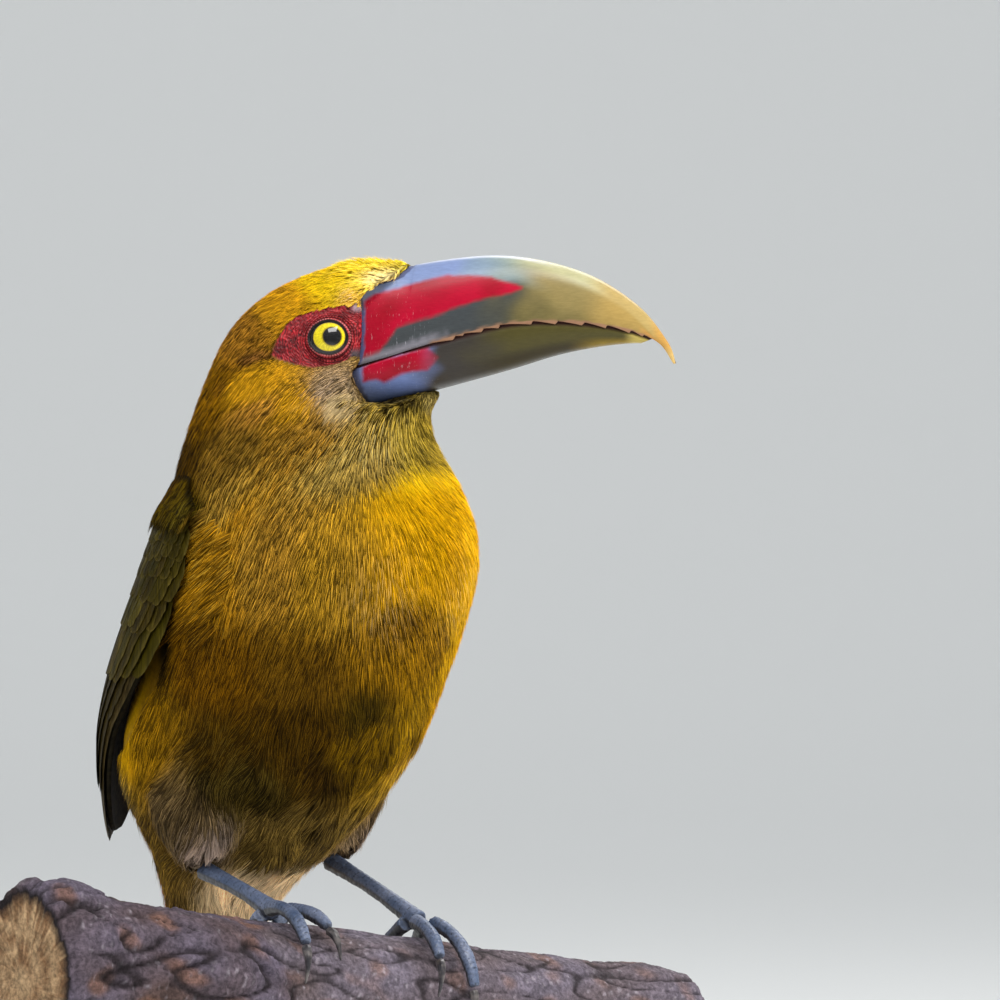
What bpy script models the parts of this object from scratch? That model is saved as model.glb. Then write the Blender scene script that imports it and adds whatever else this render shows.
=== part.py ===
"""A perched saffron toucanet, as a still, life-size model on a short branch and a display stand.

The bird's body faces -Y and its left side is +X. Its head is turned to its left. The origin is the
centre of the underside of the stand's base, and +Z is up. All lengths are in metres.

The bird is described in a profile frame: "forward" and "up" lie in the plane that cuts the bird in
half, measured from the vertical line through its neck and from the top of the perch. Each stretch of
the body has a heading, the angle by which that plane is turned about the neck's line, so that one
profile holds both the straight trunk and the turned head.
"""

import math

import bmesh
import bpy
import numpy as np
from mathutils import Vector

MM = 0.001
GAP = 0.35 * MM  # the space between pieces that touch

# Stand and perch
BASE_RADIUS = 88 * MM
BASE_HEIGHT = 14 * MM
ROD_RADIUS = 4.5 * MM
SOCKET_DEPTH = 8 * MM
PERCH_TOP = 158 * MM  # height of the branch's upper side between the feet
PERCH_Y = -18 * MM  # the branch lies this far in front of the base's centre
PERCH_RADIUS = 17 * MM
PERCH_TAPER = 0.035  # loss of radius for each metre towards the bird's left
PERCH_SLOPE = -0.115  # fall of the branch's axis towards the bird's left
PERCH_ENDS = (-106 * MM, 108 * MM)
# Knots of the bark: place across, angle from the branch's upper line towards the bird's back in
# degrees, half length, half width in degrees, and height.
KNOTS = (
    (-60 * MM, -70, 17 * MM, 42, 5.0 * MM),
    (-96 * MM, -15, 15 * MM, 48, 4.5 * MM),
    (-82 * MM, 130, 10 * MM, 35, 3.0 * MM),
    (64 * MM, 105, 12 * MM, 34, 3.5 * MM),
    (92 * MM, -40, 9 * MM, 40, 2.2 * MM),
)

# Bird
NECK_BACK = 18.9 * MM  # the neck's line stands this far behind the perch's line
HEAD_TURN = 44.0  # degrees to the bird's left

# The body's rings from tail to forehead, in millimetres and degrees: dorsal point (forward, up),
# ventral point (forward, up), half width, heading, and squareness, where 2 makes an ellipse.
BODY = (
    ((-45.5, -15.0), (-32.0, -13.5), 11.5, 0, 2.1),  # ends of the tail coverts
    ((-49.0, 4.0), (-20.0, 4.0), 15.0, 0, 2.1),  # root of the tail
    ((-52.5, 20.0), (-3.5, 15.0), 20.5, 0, 2.1),  # vent
    ((-53.5, 33.0), (10.0, 27.0), 28.5, 0, 2.1),  # lower belly and rump
    ((-52.0, 48.0), (23.0, 42.0), 34.0, 0, 2.15),  # belly
    ((-48.5, 61.0), (31.8, 58.0), 36.2, 0, 2.15),  # middle of the trunk
    ((-43.0, 75.0), (39.5, 74.0), 36.8, 0, 2.15),  # lower breast
    ((-38.5, 88.0), (44.5, 88.0), 36.6, 0, 2.15),  # fullest part of the breast
    ((-36.0, 100.0), (43.5, 99.0), 35.1, 2, 2.1),  # shoulders
    ((-34.5, 111.0), (37.5, 109.5), 32.0, 10, 2.1),  # foot of the neck
    ((-31.3, 122.5), (31.5, 118.0), 27.5, 26, 2.15),  # neck
    ((-26.5, 135.0), (30.0, 124.5), 22.8, 38, 2.2),  # nape and throat
    ((-20.2, 147.2), (31.5, 128.5), 19.4, HEAD_TURN, 2.3),  # back of the head
    ((-10.0, 156.2), (30.5, 131.0), 17.7, HEAD_TURN, 2.45),  # crown behind the eyes
    ((2.5, 161.5), (29.0, 134.5), 16.0, HEAD_TURN, 2.5),  # crown before the eyes
    ((13.5, 163.6), (28.0, 138.0), 13.8, HEAD_TURN, 2.4),  # forehead
    ((26.0, 162.6), (27.5, 142.0), 11.0, HEAD_TURN, 2.2),  # feathers over the bill's root
)
BODY_SEGMENTS = 28
RINGS_PER_SPAN = 2
NECK_CUT = 8.55  # where along BODY the trunk ends and the neck begins
HEAD_CUT = 10.6  # where the neck ends and the head begins

# The bill, in the head's profile frame, in millimetres:
# culmen (forward, up), tomium (forward, up), gonys (forward, up), half width.
BILL = (
    ((9.0, 156.6), (8.0, 134.4), (10.0, 126.4), 12.2),  # hidden root
    ((25.0, 161.9), (22.7, 140.5), (25.2, 129.9), 11.4),  # edge of the forehead
    ((47.0, 164.2), (46.0, 147.2), (47.0, 135.8), 9.2),  # middle
    ((66.0, 160.3), (62.0, 148.2), (61.0, 140.0), 7.0),  # bend of the culmen
    ((79.5, 152.3), (76.0, 146.6), (73.0, 142.2), 4.4),  # before the hook
    ((87.0, 143.3), (84.6, 143.2), (82.0, 142.6), 2.0),  # hook
    ((89.2, 137.8), (88.7, 137.7), (87.0, 140.5), 0.45),  # tips
)
# Where the feathers end and the horn begins, as seen from the side (forward, up), top to bottom.
BILL_EDGE = ((24.7, 161.8), (13.5, 153.0), (12.3, 136.5), (16.7, 127.6))
BILL_SIDE_POINTS = 6
TOOTH_COUNT = 10
TEETH = (30.0 * MM, 81.0 * MM)  # the toothed stretch of the upper bill's edge, forward
TOOTH_DROP = 1.3 * MM
RIM_THICKNESS = 0.9 * MM  # of the toothed rim that closes over the lower bill
PALATE_RISE = 0.7 * MM  # the palate lies this far above the rim
ROOT_FLARE = 1.05  # the bill's root is this much wider than its first section
EDGE_STEP = 0.05 * MM  # fall from point to point of a root's level stretches
LOWER_TIP = 83.3 * MM  # forward reach of the lower bill

EYE_RADIUS = 6.6 * MM
EYE_PLACE = (5.6 * MM, 142.9 * MM)  # forward, up
EYE_SIDE = 13.0 * MM  # from the middle of the head to the eyeball's centre

# The folded wing lies on the trunk: place along BODY, angle from the back's midline to its inner
# edge and to its outer edge in degrees, thickness and clearance from the trunk in millimetres.
WING = (
    (8.45, 36, 60, 0.9, 0.35),  # shoulder
    (7.9, 22, 78, 2.0, 0.35),
    (7.0, 11, 82, 3.5, 0.35),  # bend of the wing
    (6.0, 8, 79, 4.6, 0.35),
    (5.0, 7, 75, 4.6, 0.5),
    (4.0, 8, 66, 4.0, 1.2),  # ends of the secondaries
    (3.0, 11, 53, 3.2, 2.8),
    (2.5, 14, 44, 2.4, 4.4),
    (2.1, 22, 34, 1.3, 6.0),  # tip of the longest primary
)
WING_EDGE_THICKNESS = 0.9 * MM
WING_COLUMNS = 7

TAIL_LENGTH = 126 * MM  # beyond the coverts
TAIL_ROOT = (56.0 * MM, -10.0 * MM)  # behind the perch's line, up from the perch's top
TAIL_LEAN = 17.0  # degrees from the vertical
# Along the tail: share of the length, half width and thickness in millimetres.
TAIL = (
    (0.0, 9.5, 6.0),
    (0.25, 14.5, 5.2),
    (0.55, 18.5, 4.0),
    (0.8, 18.5, 3.0),
    (0.93, 13.0, 2.0),
    (1.0, 5.0, 1.2),
)
TAIL_ARCH = 0.18  # how far the edges bend down, as a share of the half width

# Legs: across, behind the perch's line, up from the perch's top, for the left leg.
KNEE = (19.5 * MM, 27 * MM, 49 * MM)
SHIN = (22.8 * MM, 34.5 * MM, 28 * MM)
HEEL = (20.6 * MM, 34.5 * MM, 13 * MM)
FEET = {"left": (21 * MM, 3 * MM, -14), "right": (21 * MM, 9 * MM, 12)}  # across, back, outward turn
FOOT_RISE = 3.7 * MM  # of the foot's joint above the bark
THIGH_RADII = (13.5 * MM, 11.5 * MM, 4.4 * MM)
TARSUS_RADII = (2.6 * MM, 2.1 * MM, 2.2 * MM, 2.8 * MM)
# Toes of one foot: number, 1 forward or -1 backward, outward place of the root in millimetres,
# outward turn in degrees, length in millimetres. The second and third toes point forward.
TOES = ((1, -1, -2.7, -10, 15), (2, 1, -2.7, -5, 20), (3, 1, 2.7, 6, 27), (4, -1, 2.7, 10, 22))
TOE_ROOT_RUN = 2.6 * MM  # from the foot's joint to the toes' roots
TOE_ROOT_LIFT = 0.9 * MM
TOE_RADII = (2.15 * MM, 1.75 * MM, 1.9 * MM, 1.45 * MM)
CLAW_LENGTH = 8.0 * MM
CLAW_RADIUS = 1.25 * MM
CLAW_TAPER = (1.0, 0.95, 0.6, 0.22)
CLAW_LIFT = 1.95 * MM  # of the claw's root above the bark
CLAW_ARCH = 1.1 * MM
CLAW_DIP = 0.9 * MM  # the claw's point lies this much lower than its root

Z = Vector((0, 0, 1))

COLOURS = {
    "plumage_saffron": ((0.62, 0.36, 0.02), 0.85),
    "plumage_crown": ((0.70, 0.44, 0.02), 0.85),
    "plumage_wing": ((0.045, 0.038, 0.010), 0.7),
    "plumage_tail": ((0.040, 0.042, 0.018), 0.7),
    "plumage_thigh": ((0.11, 0.075, 0.025), 0.85),
    "bill_horn": ((0.50, 0.42, 0.18), 0.3),
    "bill_horn_lower": ((0.12, 0.10, 0.04), 0.35),
    "eye": ((0.75, 0.65, 0.02), 0.1),
    "leg_scales": ((0.13, 0.16, 0.22), 0.55),
    "claw_horn": ((0.05, 0.05, 0.06), 0.4),
    "bark": ((0.13, 0.10, 0.11), 0.9),
    "stand_wood": ((0.10, 0.05, 0.025), 0.4),
    "stand_steel": ((0.45, 0.45, 0.46), 0.35),
}


def clear_scene():
    for old in list(bpy.data.objects):
        bpy.data.objects.remove(old)


def material(slot):
    found = bpy.data.materials.get(slot)
    if found:
        return found
    colour, roughness = COLOURS[slot]
    made = bpy.data.materials.new(slot)
    made.use_nodes = True
    shader = made.node_tree.nodes["Principled BSDF"]
    shader.inputs["Base Color"].default_value = (*colour, 1.0)
    shader.inputs["Roughness"].default_value = roughness
    shader.inputs["Metallic"].default_value = 1.0 if slot == "stand_steel" else 0.0
    return made


def spline(rows, place):
    """The rows of numbers as one smooth curve (Catmull-Rom) that passes row k at place k."""
    table = np.asarray(rows, float)
    place = min(max(place, 0.0), len(table) - 1.0)
    k = min(int(place), len(table) - 2)
    t = place - k
    before = table[k - 1] if k > 0 else 2 * table[0] - table[1]
    after = table[k + 2] if k + 2 < len(table) else 2 * table[-1] - table[-2]
    start, end = table[k], table[k + 1]
    slope_in, slope_out = (end - before) / 2, (after - start) / 2
    return (
        (2 * t**3 - 3 * t**2 + 1) * start
        + (t**3 - 2 * t**2 + t) * slope_in
        + (3 * t**2 - 2 * t**3) * end
        + (t**3 - t**2) * slope_out
    )


def bird_point(side, back, up):
    """A point from the perch: to the bird's left, behind the perch's line, above its top."""
    return Vector((side, PERCH_Y + back, PERCH_TOP + up))


def profile_point(side, forward, up, heading):
    """A point of the profile frame with its plane turned by heading degrees about the neck."""
    turn = math.radians(heading)
    ahead = Vector((math.sin(turn), -math.cos(turn), 0))
    left = Vector((math.cos(turn), math.sin(turn), 0))
    return bird_point(0, NECK_BACK, float(up)) + float(forward) * ahead + float(side) * left


def head_point(side, forward, up):
    return profile_point(side, forward, up, HEAD_TURN)


def rounded(value, exponent):
    return math.copysign(abs(value) ** (2 / exponent), value)


BODY_TABLE = [(*dorsal, *ventral, *rest) for dorsal, ventral, *rest in BODY]


def body_point(place, angle, grow=0.0):
    """The body's surface at a place along BODY and an angle in degrees from the dorsal line."""
    dorsal_f, dorsal_u, ventral_f, ventral_u, width, heading, square = spline(BODY_TABLE, place)
    across = rounded(math.sin(math.radians(angle)), square)
    along = rounded(math.cos(math.radians(angle)), square)
    forward = (dorsal_f + ventral_f) / 2 + along * (dorsal_f - ventral_f) / 2
    up = (dorsal_u + ventral_u) / 2 + along * (dorsal_u - ventral_u) / 2
    point = profile_point(across * width * MM, forward * MM, up * MM, heading)
    return point + body_normal(place, angle) * float(grow) if grow else point


def body_normal(place, angle):
    step = 0.02
    along = body_point(place + step, angle) - body_point(place - step, angle)
    around = body_point(place, angle + 1) - body_point(place, angle - 1)
    return around.cross(along).normalized() * -1


def body_ring(place, grow=0.0):
    turns = [360 * k / BODY_SEGMENTS for k in range(BODY_SEGMENTS)]
    return [body_point(place, angle, grow) for angle in turns]


def new_object(name, mesh_data, slot=None):
    """Adds a bmesh to the scene as a named, smooth-shaded object. No slot makes it a cutter."""
    bmesh.ops.recalc_face_normals(mesh_data, faces=mesh_data.faces)
    mesh = bpy.data.meshes.new(name)
    mesh_data.to_mesh(mesh)
    mesh_data.free()
    made = bpy.data.objects.new(name, mesh)
    bpy.context.scene.collection.objects.link(made)
    if slot:
        mesh.materials.append(material(slot))
        mesh.shade_smooth()
        mesh.set_sharp_from_angle(angle=math.radians(40))
    else:
        made.hide_render = True
        made.display_type = "WIRE"
    return made


def loft(rings, strip_start=False):
    """A closed bmesh through rings of equally many points. strip_start closes a mirror-symmetric
    first ring, which starts on its middle line, with bands from side to side."""
    bm = bmesh.new()
    rows = [[bm.verts.new(point) for point in ring] for ring in rings]
    count = len(rows[0])
    for first, second in zip(rows, rows[1:]):
        for k in range(count):
            bm.faces.new((first[k], first[(k + 1) % count], second[(k + 1) % count], second[k]))
    if strip_start:
        for k in range(count // 2):
            band = (rows[0][k], rows[0][k + 1], rows[0][count - k - 1], rows[0][-k % count])
            bm.faces.new(tuple(dict.fromkeys(band)))
    else:
        bm.faces.new(rows[0])
    bm.faces.new(rows[-1])
    return bm


def tube(points, radii, segments=8):
    """A closed round tube through the points, whose radius runs smoothly through the radii."""
    rings = []
    last = len(points) - 1
    normal = None
    for k, point in enumerate(points):
        along = (points[min(k + 1, last)] - points[max(k - 1, 0)]).normalized()
        if normal is None:
            normal = along.orthogonal().normalized()
        normal = (normal - normal.dot(along) * along).normalized()
        side = along.cross(normal)
        radius = float(spline([[r] for r in radii], k / last * (len(radii) - 1))[0])
        turns = [2 * math.pi * j / segments for j in range(segments)]
        rings.append([point + radius * (math.cos(a) * normal + math.sin(a) * side) for a in turns])
    return loft(rings)


def smooth_path(points, steps):
    rows = [tuple(point) for point in points]
    return [Vector(spline(rows, (len(rows) - 1) * k / steps)) for k in range(steps + 1)]


def cut(target, cutter, name):
    modifier = target.modifiers.new(name, "BOOLEAN")
    modifier.operation = "DIFFERENCE"
    modifier.solver = "EXACT"
    modifier.object = cutter


def body_mesh(first, last, grow=0.0):
    count = round((last - first) * RINGS_PER_SPAN)
    places = [first + (last - first) * k / count for k in range(count + 1)]
    return loft([body_ring(place, grow) for place in places])


def keep_side(bm, place, towards_head):
    """Cuts a bmesh with the plane of the ring at a place, and leaves half a gap beside it."""
    ring = [body_point(place, angle) for angle in (0, 90, 180)]
    normal = (ring[1] - ring[0]).cross(ring[2] - ring[0]).normalized()
    if normal.dot(body_point(place + 0.3, 90) - ring[1]) < 0:
        normal = -normal
    inside = normal if towards_head else -normal
    geometry = bm.verts[:] + bm.edges[:] + bm.faces[:]
    bmesh.ops.bisect_plane(
        bm, geom=geometry, plane_co=ring[0] + inside * GAP / 2, plane_no=inside, clear_inner=True
    )
    bmesh.ops.holes_fill(bm, edges=[edge for edge in bm.edges if edge.is_boundary])


def make_trunk():
    bm = body_mesh(0.0, NECK_CUT + 1)
    keep_side(bm, NECK_CUT, towards_head=False)
    return new_object("trunk", bm, "plumage_saffron")


def make_neck():
    bm = body_mesh(NECK_CUT - 1, HEAD_CUT + 1)
    keep_side(bm, NECK_CUT, towards_head=True)
    keep_side(bm, HEAD_CUT, towards_head=False)
    return new_object("neck", bm, "plumage_saffron")


def bill_space():
    """The room that the bill takes out of the head: ahead of BILL_EDGE and above the gonys."""
    gonys = [(row[2][0], row[2][1] - 0.25) for row in BILL[1:3]]
    outline = [(BILL_EDGE[0][0], 175.0), *BILL_EDGE, *gonys, (95.0, 140.0), (95.0, 175.0)]
    half_width = 40 * MM
    bm = bmesh.new()
    sides = [
        [bm.verts.new(head_point(side, forward * MM, up * MM)) for forward, up in outline]
        for side in (-half_width, half_width)
    ]
    bm.faces.new(sides[0])
    bm.faces.new(sides[1])
    for k in range(len(outline)):
        after = (k + 1) % len(outline)
        bm.faces.new((sides[0][k], sides[0][after], sides[1][after], sides[1][k]))
    return new_object("bill_space", bm)


def ball(centre, radius, segments=16):
    bm = bmesh.new()
    bmesh.ops.create_uvsphere(bm, u_segments=segments, v_segments=segments // 2, radius=radius)
    bmesh.ops.translate(bm, vec=centre, verts=bm.verts)
    return bm


def make_head():
    bm = body_mesh(HEAD_CUT - 1, len(BODY) - 1)
    keep_side(bm, HEAD_CUT, towards_head=True)
    head = new_object("head", bm, "plumage_crown")
    cut(head, bill_space(), "bill")
    for name, side in (("left", 1), ("right", -1)):
        centre = head_point(side * EYE_SIDE, *EYE_PLACE)
        new_object(f"eye_{name}", ball(centre, EYE_RADIUS), "eye")
        cut(head, new_object(f"socket_{name}", ball(centre, EYE_RADIUS + GAP)), f"socket_{name}")


def bill_table():
    return [(*culmen, *tomium, *gonys, width) for culmen, tomium, gonys, width in BILL]


def bill_section(place):
    """The bill at a place along BILL: (culmen, tomium, gonys) as (forward, up), and half width."""
    row = spline(bill_table(), place) * MM
    return row[0:2], row[2:4], row[4:6], row[6]


def bill_place(forward):
    """The place along BILL where the tomium is this far forward."""
    places = np.linspace(0, len(BILL) - 1, 400)
    return float(np.interp(forward, [bill_section(p)[1][0] for p in places], places))


def edge_forward(up):
    """How far forward the feathers' edge lies at a height."""
    edge = sorted(((high * MM, forward * MM) for forward, high in BILL_EDGE))
    return float(np.interp(up, [high for high, _ in edge], [forward for _, forward in edge])) + GAP


def upper_ring(low, high, half_width, drop):
    """One ring of the upper bill from the culmen's middle down the left side and back. low and
    high are (forward, up) of its rim and of its culmen, and drop is how far the rim hangs."""
    rim = min(RIM_THICKNESS, 0.35 * half_width)
    palate = min(PALATE_RISE, 0.3 * float(np.linalg.norm(high - low)))
    outline = upper_side(low, high, half_width)
    outline.append((half_width * 0.985, low - (0, drop)))
    outline.append((half_width - rim, low - (0, drop)))
    upwards = (high - low) / max(float(np.linalg.norm(high - low)), 1e-9)
    outline.append((half_width - rim, low + upwards * palate))
    outline.append((0.0, low + upwards * palate))
    return both_sides(outline)


def upper_side(low, high, half_width):
    """The flank of a ring of the upper bill, as (side, (forward, up)) from the culmen down."""
    turns = [math.pi / 2 * k / BILL_SIDE_POINTS for k in range(BILL_SIDE_POINTS + 1)]
    return [
        (half_width * math.sin(a) ** 0.85, high * math.cos(a) + low * (1 - math.cos(a))) for a in turns
    ]


def both_sides(outline, on_edge=False):
    """A ring from one side's outline, which starts and ends on the middle line. on_edge lays it
    on the feathers' edge and slopes its level stretches, so that bands can close it."""
    left = []
    for k, (side, place) in enumerate(outline):
        forward, up = place
        if on_edge:
            up -= k * EDGE_STEP
            forward = edge_forward(up)
        left.append((side, forward, up))
    right = [(-side, forward, up) for side, forward, up in left[-2:0:-1]]
    return [head_point(*point) for point in left + right]


def upper_root():
    """The upper bill's ring on the feathers' edge, with a flat underside."""
    low = np.array((BILL_EDGE[2][0], BILL_EDGE[2][1] + 1.0)) * MM
    high = np.array(BILL_EDGE[0]) * MM
    width = bill_section(1.0)[3] * ROOT_FLARE
    outline = upper_side(low, high, width)
    outline += [(width - share * width, low) for share in (0.04, 0.08, 0.12, 1.0)]
    return both_sides(outline, on_edge=True)


def blend(first, second, share):
    return [a.lerp(b, share) for a, b in zip(first, second)]


def make_upper_bill():
    start = bill_place(TEETH[0] - 5 * MM)
    culmen, tomium, _, width = bill_section(1.0)
    edge = upper_root()
    first = upper_ring(tomium, culmen + (0.3 * MM, 0), width, 0.0)
    rings = [edge, blend(edge, first, 1 / 3), blend(edge, first, 2 / 3), first]
    rings.append(plain_upper(start))
    pitch = (TEETH[1] - TEETH[0]) / TOOTH_COUNT
    for k in range(TOOTH_COUNT):
        drop = TOOTH_DROP * (1.0 if 0 < k < TOOTH_COUNT - 1 else 0.6)
        for share in (0.0, 1.0):
            place = bill_place(TEETH[0] + pitch * (k + share * 0.97))
            rings.append(plain_upper(place, 0.1 * MM + drop * share))
    last = len(BILL) - 1
    hook = bill_place(TEETH[1] + 0.4 * MM)
    rings += [plain_upper(hook + (last - hook) * share) for share in (0.02, 0.25, 0.5, 0.75, 1.0)]
    new_object("bill_upper", loft(rings, strip_start=True), "bill_horn")


def plain_upper(place, drop=0.0):
    culmen, tomium, _, width = bill_section(place)
    return upper_ring(tomium, culmen, width, drop)


def lower_ring(top, bottom, half_width):
    """One ring of the lower bill. Its upper edge closes inside the upper bill's rim."""
    depth = float(np.linalg.norm(top - bottom))
    down = (bottom - top) / max(depth, 1e-9)
    rim = min(RIM_THICKNESS, 0.35 * half_width) + GAP
    tuck = min(PALATE_RISE, 0.12 * depth) - GAP
    shoulder = min(TOOTH_DROP + GAP, 0.45 * depth)
    outline = [(0.0, top - down * tuck), (half_width - rim, top - down * tuck)]
    outline.append((half_width - rim, top + down * shoulder))
    return both_sides(outline + lower_side(top + down * shoulder, bottom, half_width - 0.4 * rim))


def lower_side(shoulder, bottom, half_width):
    """The flank of a ring of the lower bill, as (side, (forward, up)) down to the gonys."""
    steps = 6
    flank = []
    for k in range(steps + 1):
        turn = math.pi / 2 * k / steps
        drop = 0.12 + 0.88 * math.sin(turn)
        flank.append((half_width * math.cos(turn) ** 0.7, shoulder + (bottom - shoulder) * drop))
    flank[-1] = (0.0, bottom)
    return flank


def lower_root():
    """The lower bill's ring on the feathers' edge, with a flat upper side."""
    top = np.array((BILL_EDGE[2][0], BILL_EDGE[2][1] + 0.2)) * MM
    bottom = np.array((BILL_EDGE[3][0], BILL_EDGE[3][1] + 1.0)) * MM
    width = bill_section(1.0)[3] * ROOT_FLARE
    outline = [(0.0, top), (0.7 * width, top), (0.85 * width, top)]
    return both_sides(outline + lower_side(top, bottom, width), on_edge=True)


def make_lower_bill():
    _, tomium, gonys, width = bill_section(1.0)
    edge = lower_root()
    first = lower_ring(tomium, gonys, width)
    rings = [edge, blend(edge, first, 1 / 3), blend(edge, first, 2 / 3), first]
    count = 12
    tip = bill_place(LOWER_TIP)
    for k in range(1, count + 1):
        _, tomium, gonys, width = bill_section(1 + (tip - 1) * k / count)
        rings.append(lower_ring(tomium - (0, GAP), gonys, width))
    new_object("bill_lower", loft(rings, strip_start=True), "bill_horn_lower")


def make_wing(name, side):
    """A shell on the trunk's surface: its outer face first, then its inner face, closed round."""
    rows = 2 * (len(WING) - 1)
    rings = []
    for k in range(rows + 1):
        place, inner, outer, thick, clear = spline(WING, k / 2)
        across = [2 * j / (WING_COLUMNS - 1) - 1 for j in range(WING_COLUMNS)]
        angles = [side * ((inner + outer) / 2 + share * (outer - inner) / 2) for share in across]
        swell = [math.sqrt(max(0.0, 1 - share * share)) for share in across]
        heights = [(clear + thick * bulge) * MM + WING_EDGE_THICKNESS for bulge in swell]
        top = [body_point(place, angle, high) for angle, high in zip(angles, heights)]
        under = [body_point(place, angle, clear * MM) for angle in angles]
        rings.append(top + under[::-1])
    new_object(name, loft(rings), "plumage_wing")


def make_tail(trunk_cutter):
    lean = math.radians(TAIL_LEAN)
    along = Vector((0, math.sin(lean), -math.cos(lean)))
    upper = Vector((0, math.cos(lean), math.sin(lean)))
    root = bird_point(0, *TAIL_ROOT)
    rings = []
    steps = 10
    half = 6  # points across each face
    for k in range(steps + 1):
        share, width, thick = (float(v) for v in spline(TAIL, (len(TAIL) - 1) * k / steps))
        width, thick = width * MM, thick * MM
        centre = root + along * share * TAIL_LENGTH
        ring = []
        for j in range(2 * half):
            turn = math.pi * j / half
            across = math.cos(turn)
            height = thick / 2 * math.sin(turn) - TAIL_ARCH * width * across * across
            ring.append(centre + Vector((1, 0, 0)) * width * across + upper * height)
        rings.append(ring)
    tail = new_object("tail", loft(rings), "plumage_tail")
    cut(tail, trunk_cutter, "trunk")


def perch_top_rise(across):
    """The height of the bark's upper side above PERCH_TOP, at a place across the bird."""
    return (PERCH_SLOPE - PERCH_TAPER) * across


def perch_radius(across):
    return PERCH_RADIUS - PERCH_TAPER * across


def perch_axis(across):
    """The branch's middle line, as up from the perch's top."""
    return perch_top_rise(across) - perch_radius(across)


def bark_point(across, back, lift):
    """A point lift above the bark and back behind the branch's upper line, along the bark."""
    reach = perch_radius(across) + lift
    angle = back / reach
    return bird_point(across, reach * math.sin(angle), perch_axis(across) + reach * math.cos(angle))


def make_leg(name, side, trunk_cutter):
    knee, shin, heel = (bird_point(side * p[0], p[1], p[2]) for p in (KNEE, SHIN, HEEL))
    across, back, _ = FEET[name]
    foot = bark_point(side * across, back, FOOT_RISE)
    middle = heel.lerp(foot, 0.5) + Z * 0.6 * MM
    toward = (heel - foot).normalized()
    bones = smooth_path([heel + toward * 1.5 * MM, middle, foot + toward * 0.5 * MM], 5)
    new_object(f"tarsus_{name}", tube(bones, TARSUS_RADII), "leg_scales")
    ends = (bones[0] + toward * GAP, bones[-1] - toward * GAP)
    wide_bones = tube([ends[0], *bones[1:-1], ends[1]], [r + GAP for r in TARSUS_RADII])
    tarsus_space = new_object(f"tarsus_space_{name}", wide_bones)
    flesh = tube(smooth_path([knee, shin, heel - Z * 0.5 * MM], 7), THIGH_RADII, segments=16)
    thigh = new_object(f"thigh_{name}", flesh, "plumage_thigh")
    cut(thigh, trunk_cutter, "trunk")
    cut(thigh, tarsus_space, "tarsus")
    return tarsus_space


def toe_point(name, side, toe, run, lift):
    """A point of a toe's path, run along the bark from the foot's joint and lift above it."""
    across, back, foot_turn = FEET[name]
    _, forward, start, turn, _ = toe
    outward = math.tan(math.radians(turn + forward * foot_turn)) * run
    return bark_point(side * (across + start * MM + outward), back - forward * run, lift)


def make_toes(name, side, tarsus_space):
    steps = 6
    shares = [k / steps for k in range(steps + 1)]
    for toe in TOES:
        number, length = toe[0], toe[-1] * MM
        path = []
        for share in shares:
            lift = TOE_RADII[0] + GAP + TOE_ROOT_LIFT * (1 - share) ** 3
            run = TOE_ROOT_RUN + (length - TOE_ROOT_RUN) * share
            path.append(toe_point(name, side, toe, run, lift))
        bone = new_object(f"toe_{name}_{number}", tube(path, TOE_RADII), "leg_scales")
        cut(bone, tarsus_space, "tarsus")
        path = []
        for share in shares:
            lift = CLAW_LIFT + CLAW_ARCH * math.sin(math.pi * share) - CLAW_DIP * share
            path.append(toe_point(name, side, toe, length + 2 * GAP + CLAW_LENGTH * share, lift))
        radii = [CLAW_RADIUS * share for share in CLAW_TAPER]
        new_object(f"claw_{name}_{number}", tube(path, radii, segments=6), "claw_horn")


def bark_relief(across, turn):
    """How far the bark lies outside the branch's radius, at an angle from its upper line towards
    the bird's back. Long ridges and waves lie inside it, and the knots stand out of it."""
    ridges = math.sin(5 * turn + 60 * across) * math.sin(3 * turn - 90 * across + 1.3)
    waves = 0.5 + 0.5 * math.sin(190 * across + 2.1 * math.sin(2 * turn))
    relief = -(0.45 * abs(ridges) + 0.35 * waves) * MM
    for middle, facing, length, width, height in KNOTS:
        away = math.remainder(turn - math.radians(facing), 2 * math.pi) / math.radians(width)
        relief += height * math.exp(-(((across - middle) / length) ** 2) - away**2)
    return relief


def make_perch():
    segments, steps = 22, 24
    rings = []
    for k in range(steps + 1):
        across = PERCH_ENDS[0] + (PERCH_ENDS[1] - PERCH_ENDS[0]) * k / steps
        ring = []
        for j in range(segments):
            turn = 2 * math.pi * j / segments
            radius = perch_radius(across) + bark_relief(across, turn)
            up = perch_axis(across) + radius * math.cos(turn)
            ring.append(bird_point(across, radius * math.sin(turn), up))
        rings.append(ring)
    perch = new_object("perch", loft(rings), "bark")
    under = PERCH_TOP + perch_axis(0) - PERCH_RADIUS
    hole = turned([(ROD_RADIUS + GAP, under - 5 * MM), (ROD_RADIUS + GAP, under + SOCKET_DEPTH)], 24)
    cut(perch, new_object("rod_space", hole), "rod")
    return under


def turned(profile, segments=40):
    """A closed solid of revolution on the stand's axis, from (radius, height) rings upwards."""
    turns = [2 * math.pi * k / segments for k in range(segments)]
    return loft(
        [[Vector((r * math.cos(a), PERCH_Y + r * math.sin(a), z)) for a in turns] for r, z in profile]
    )


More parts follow.
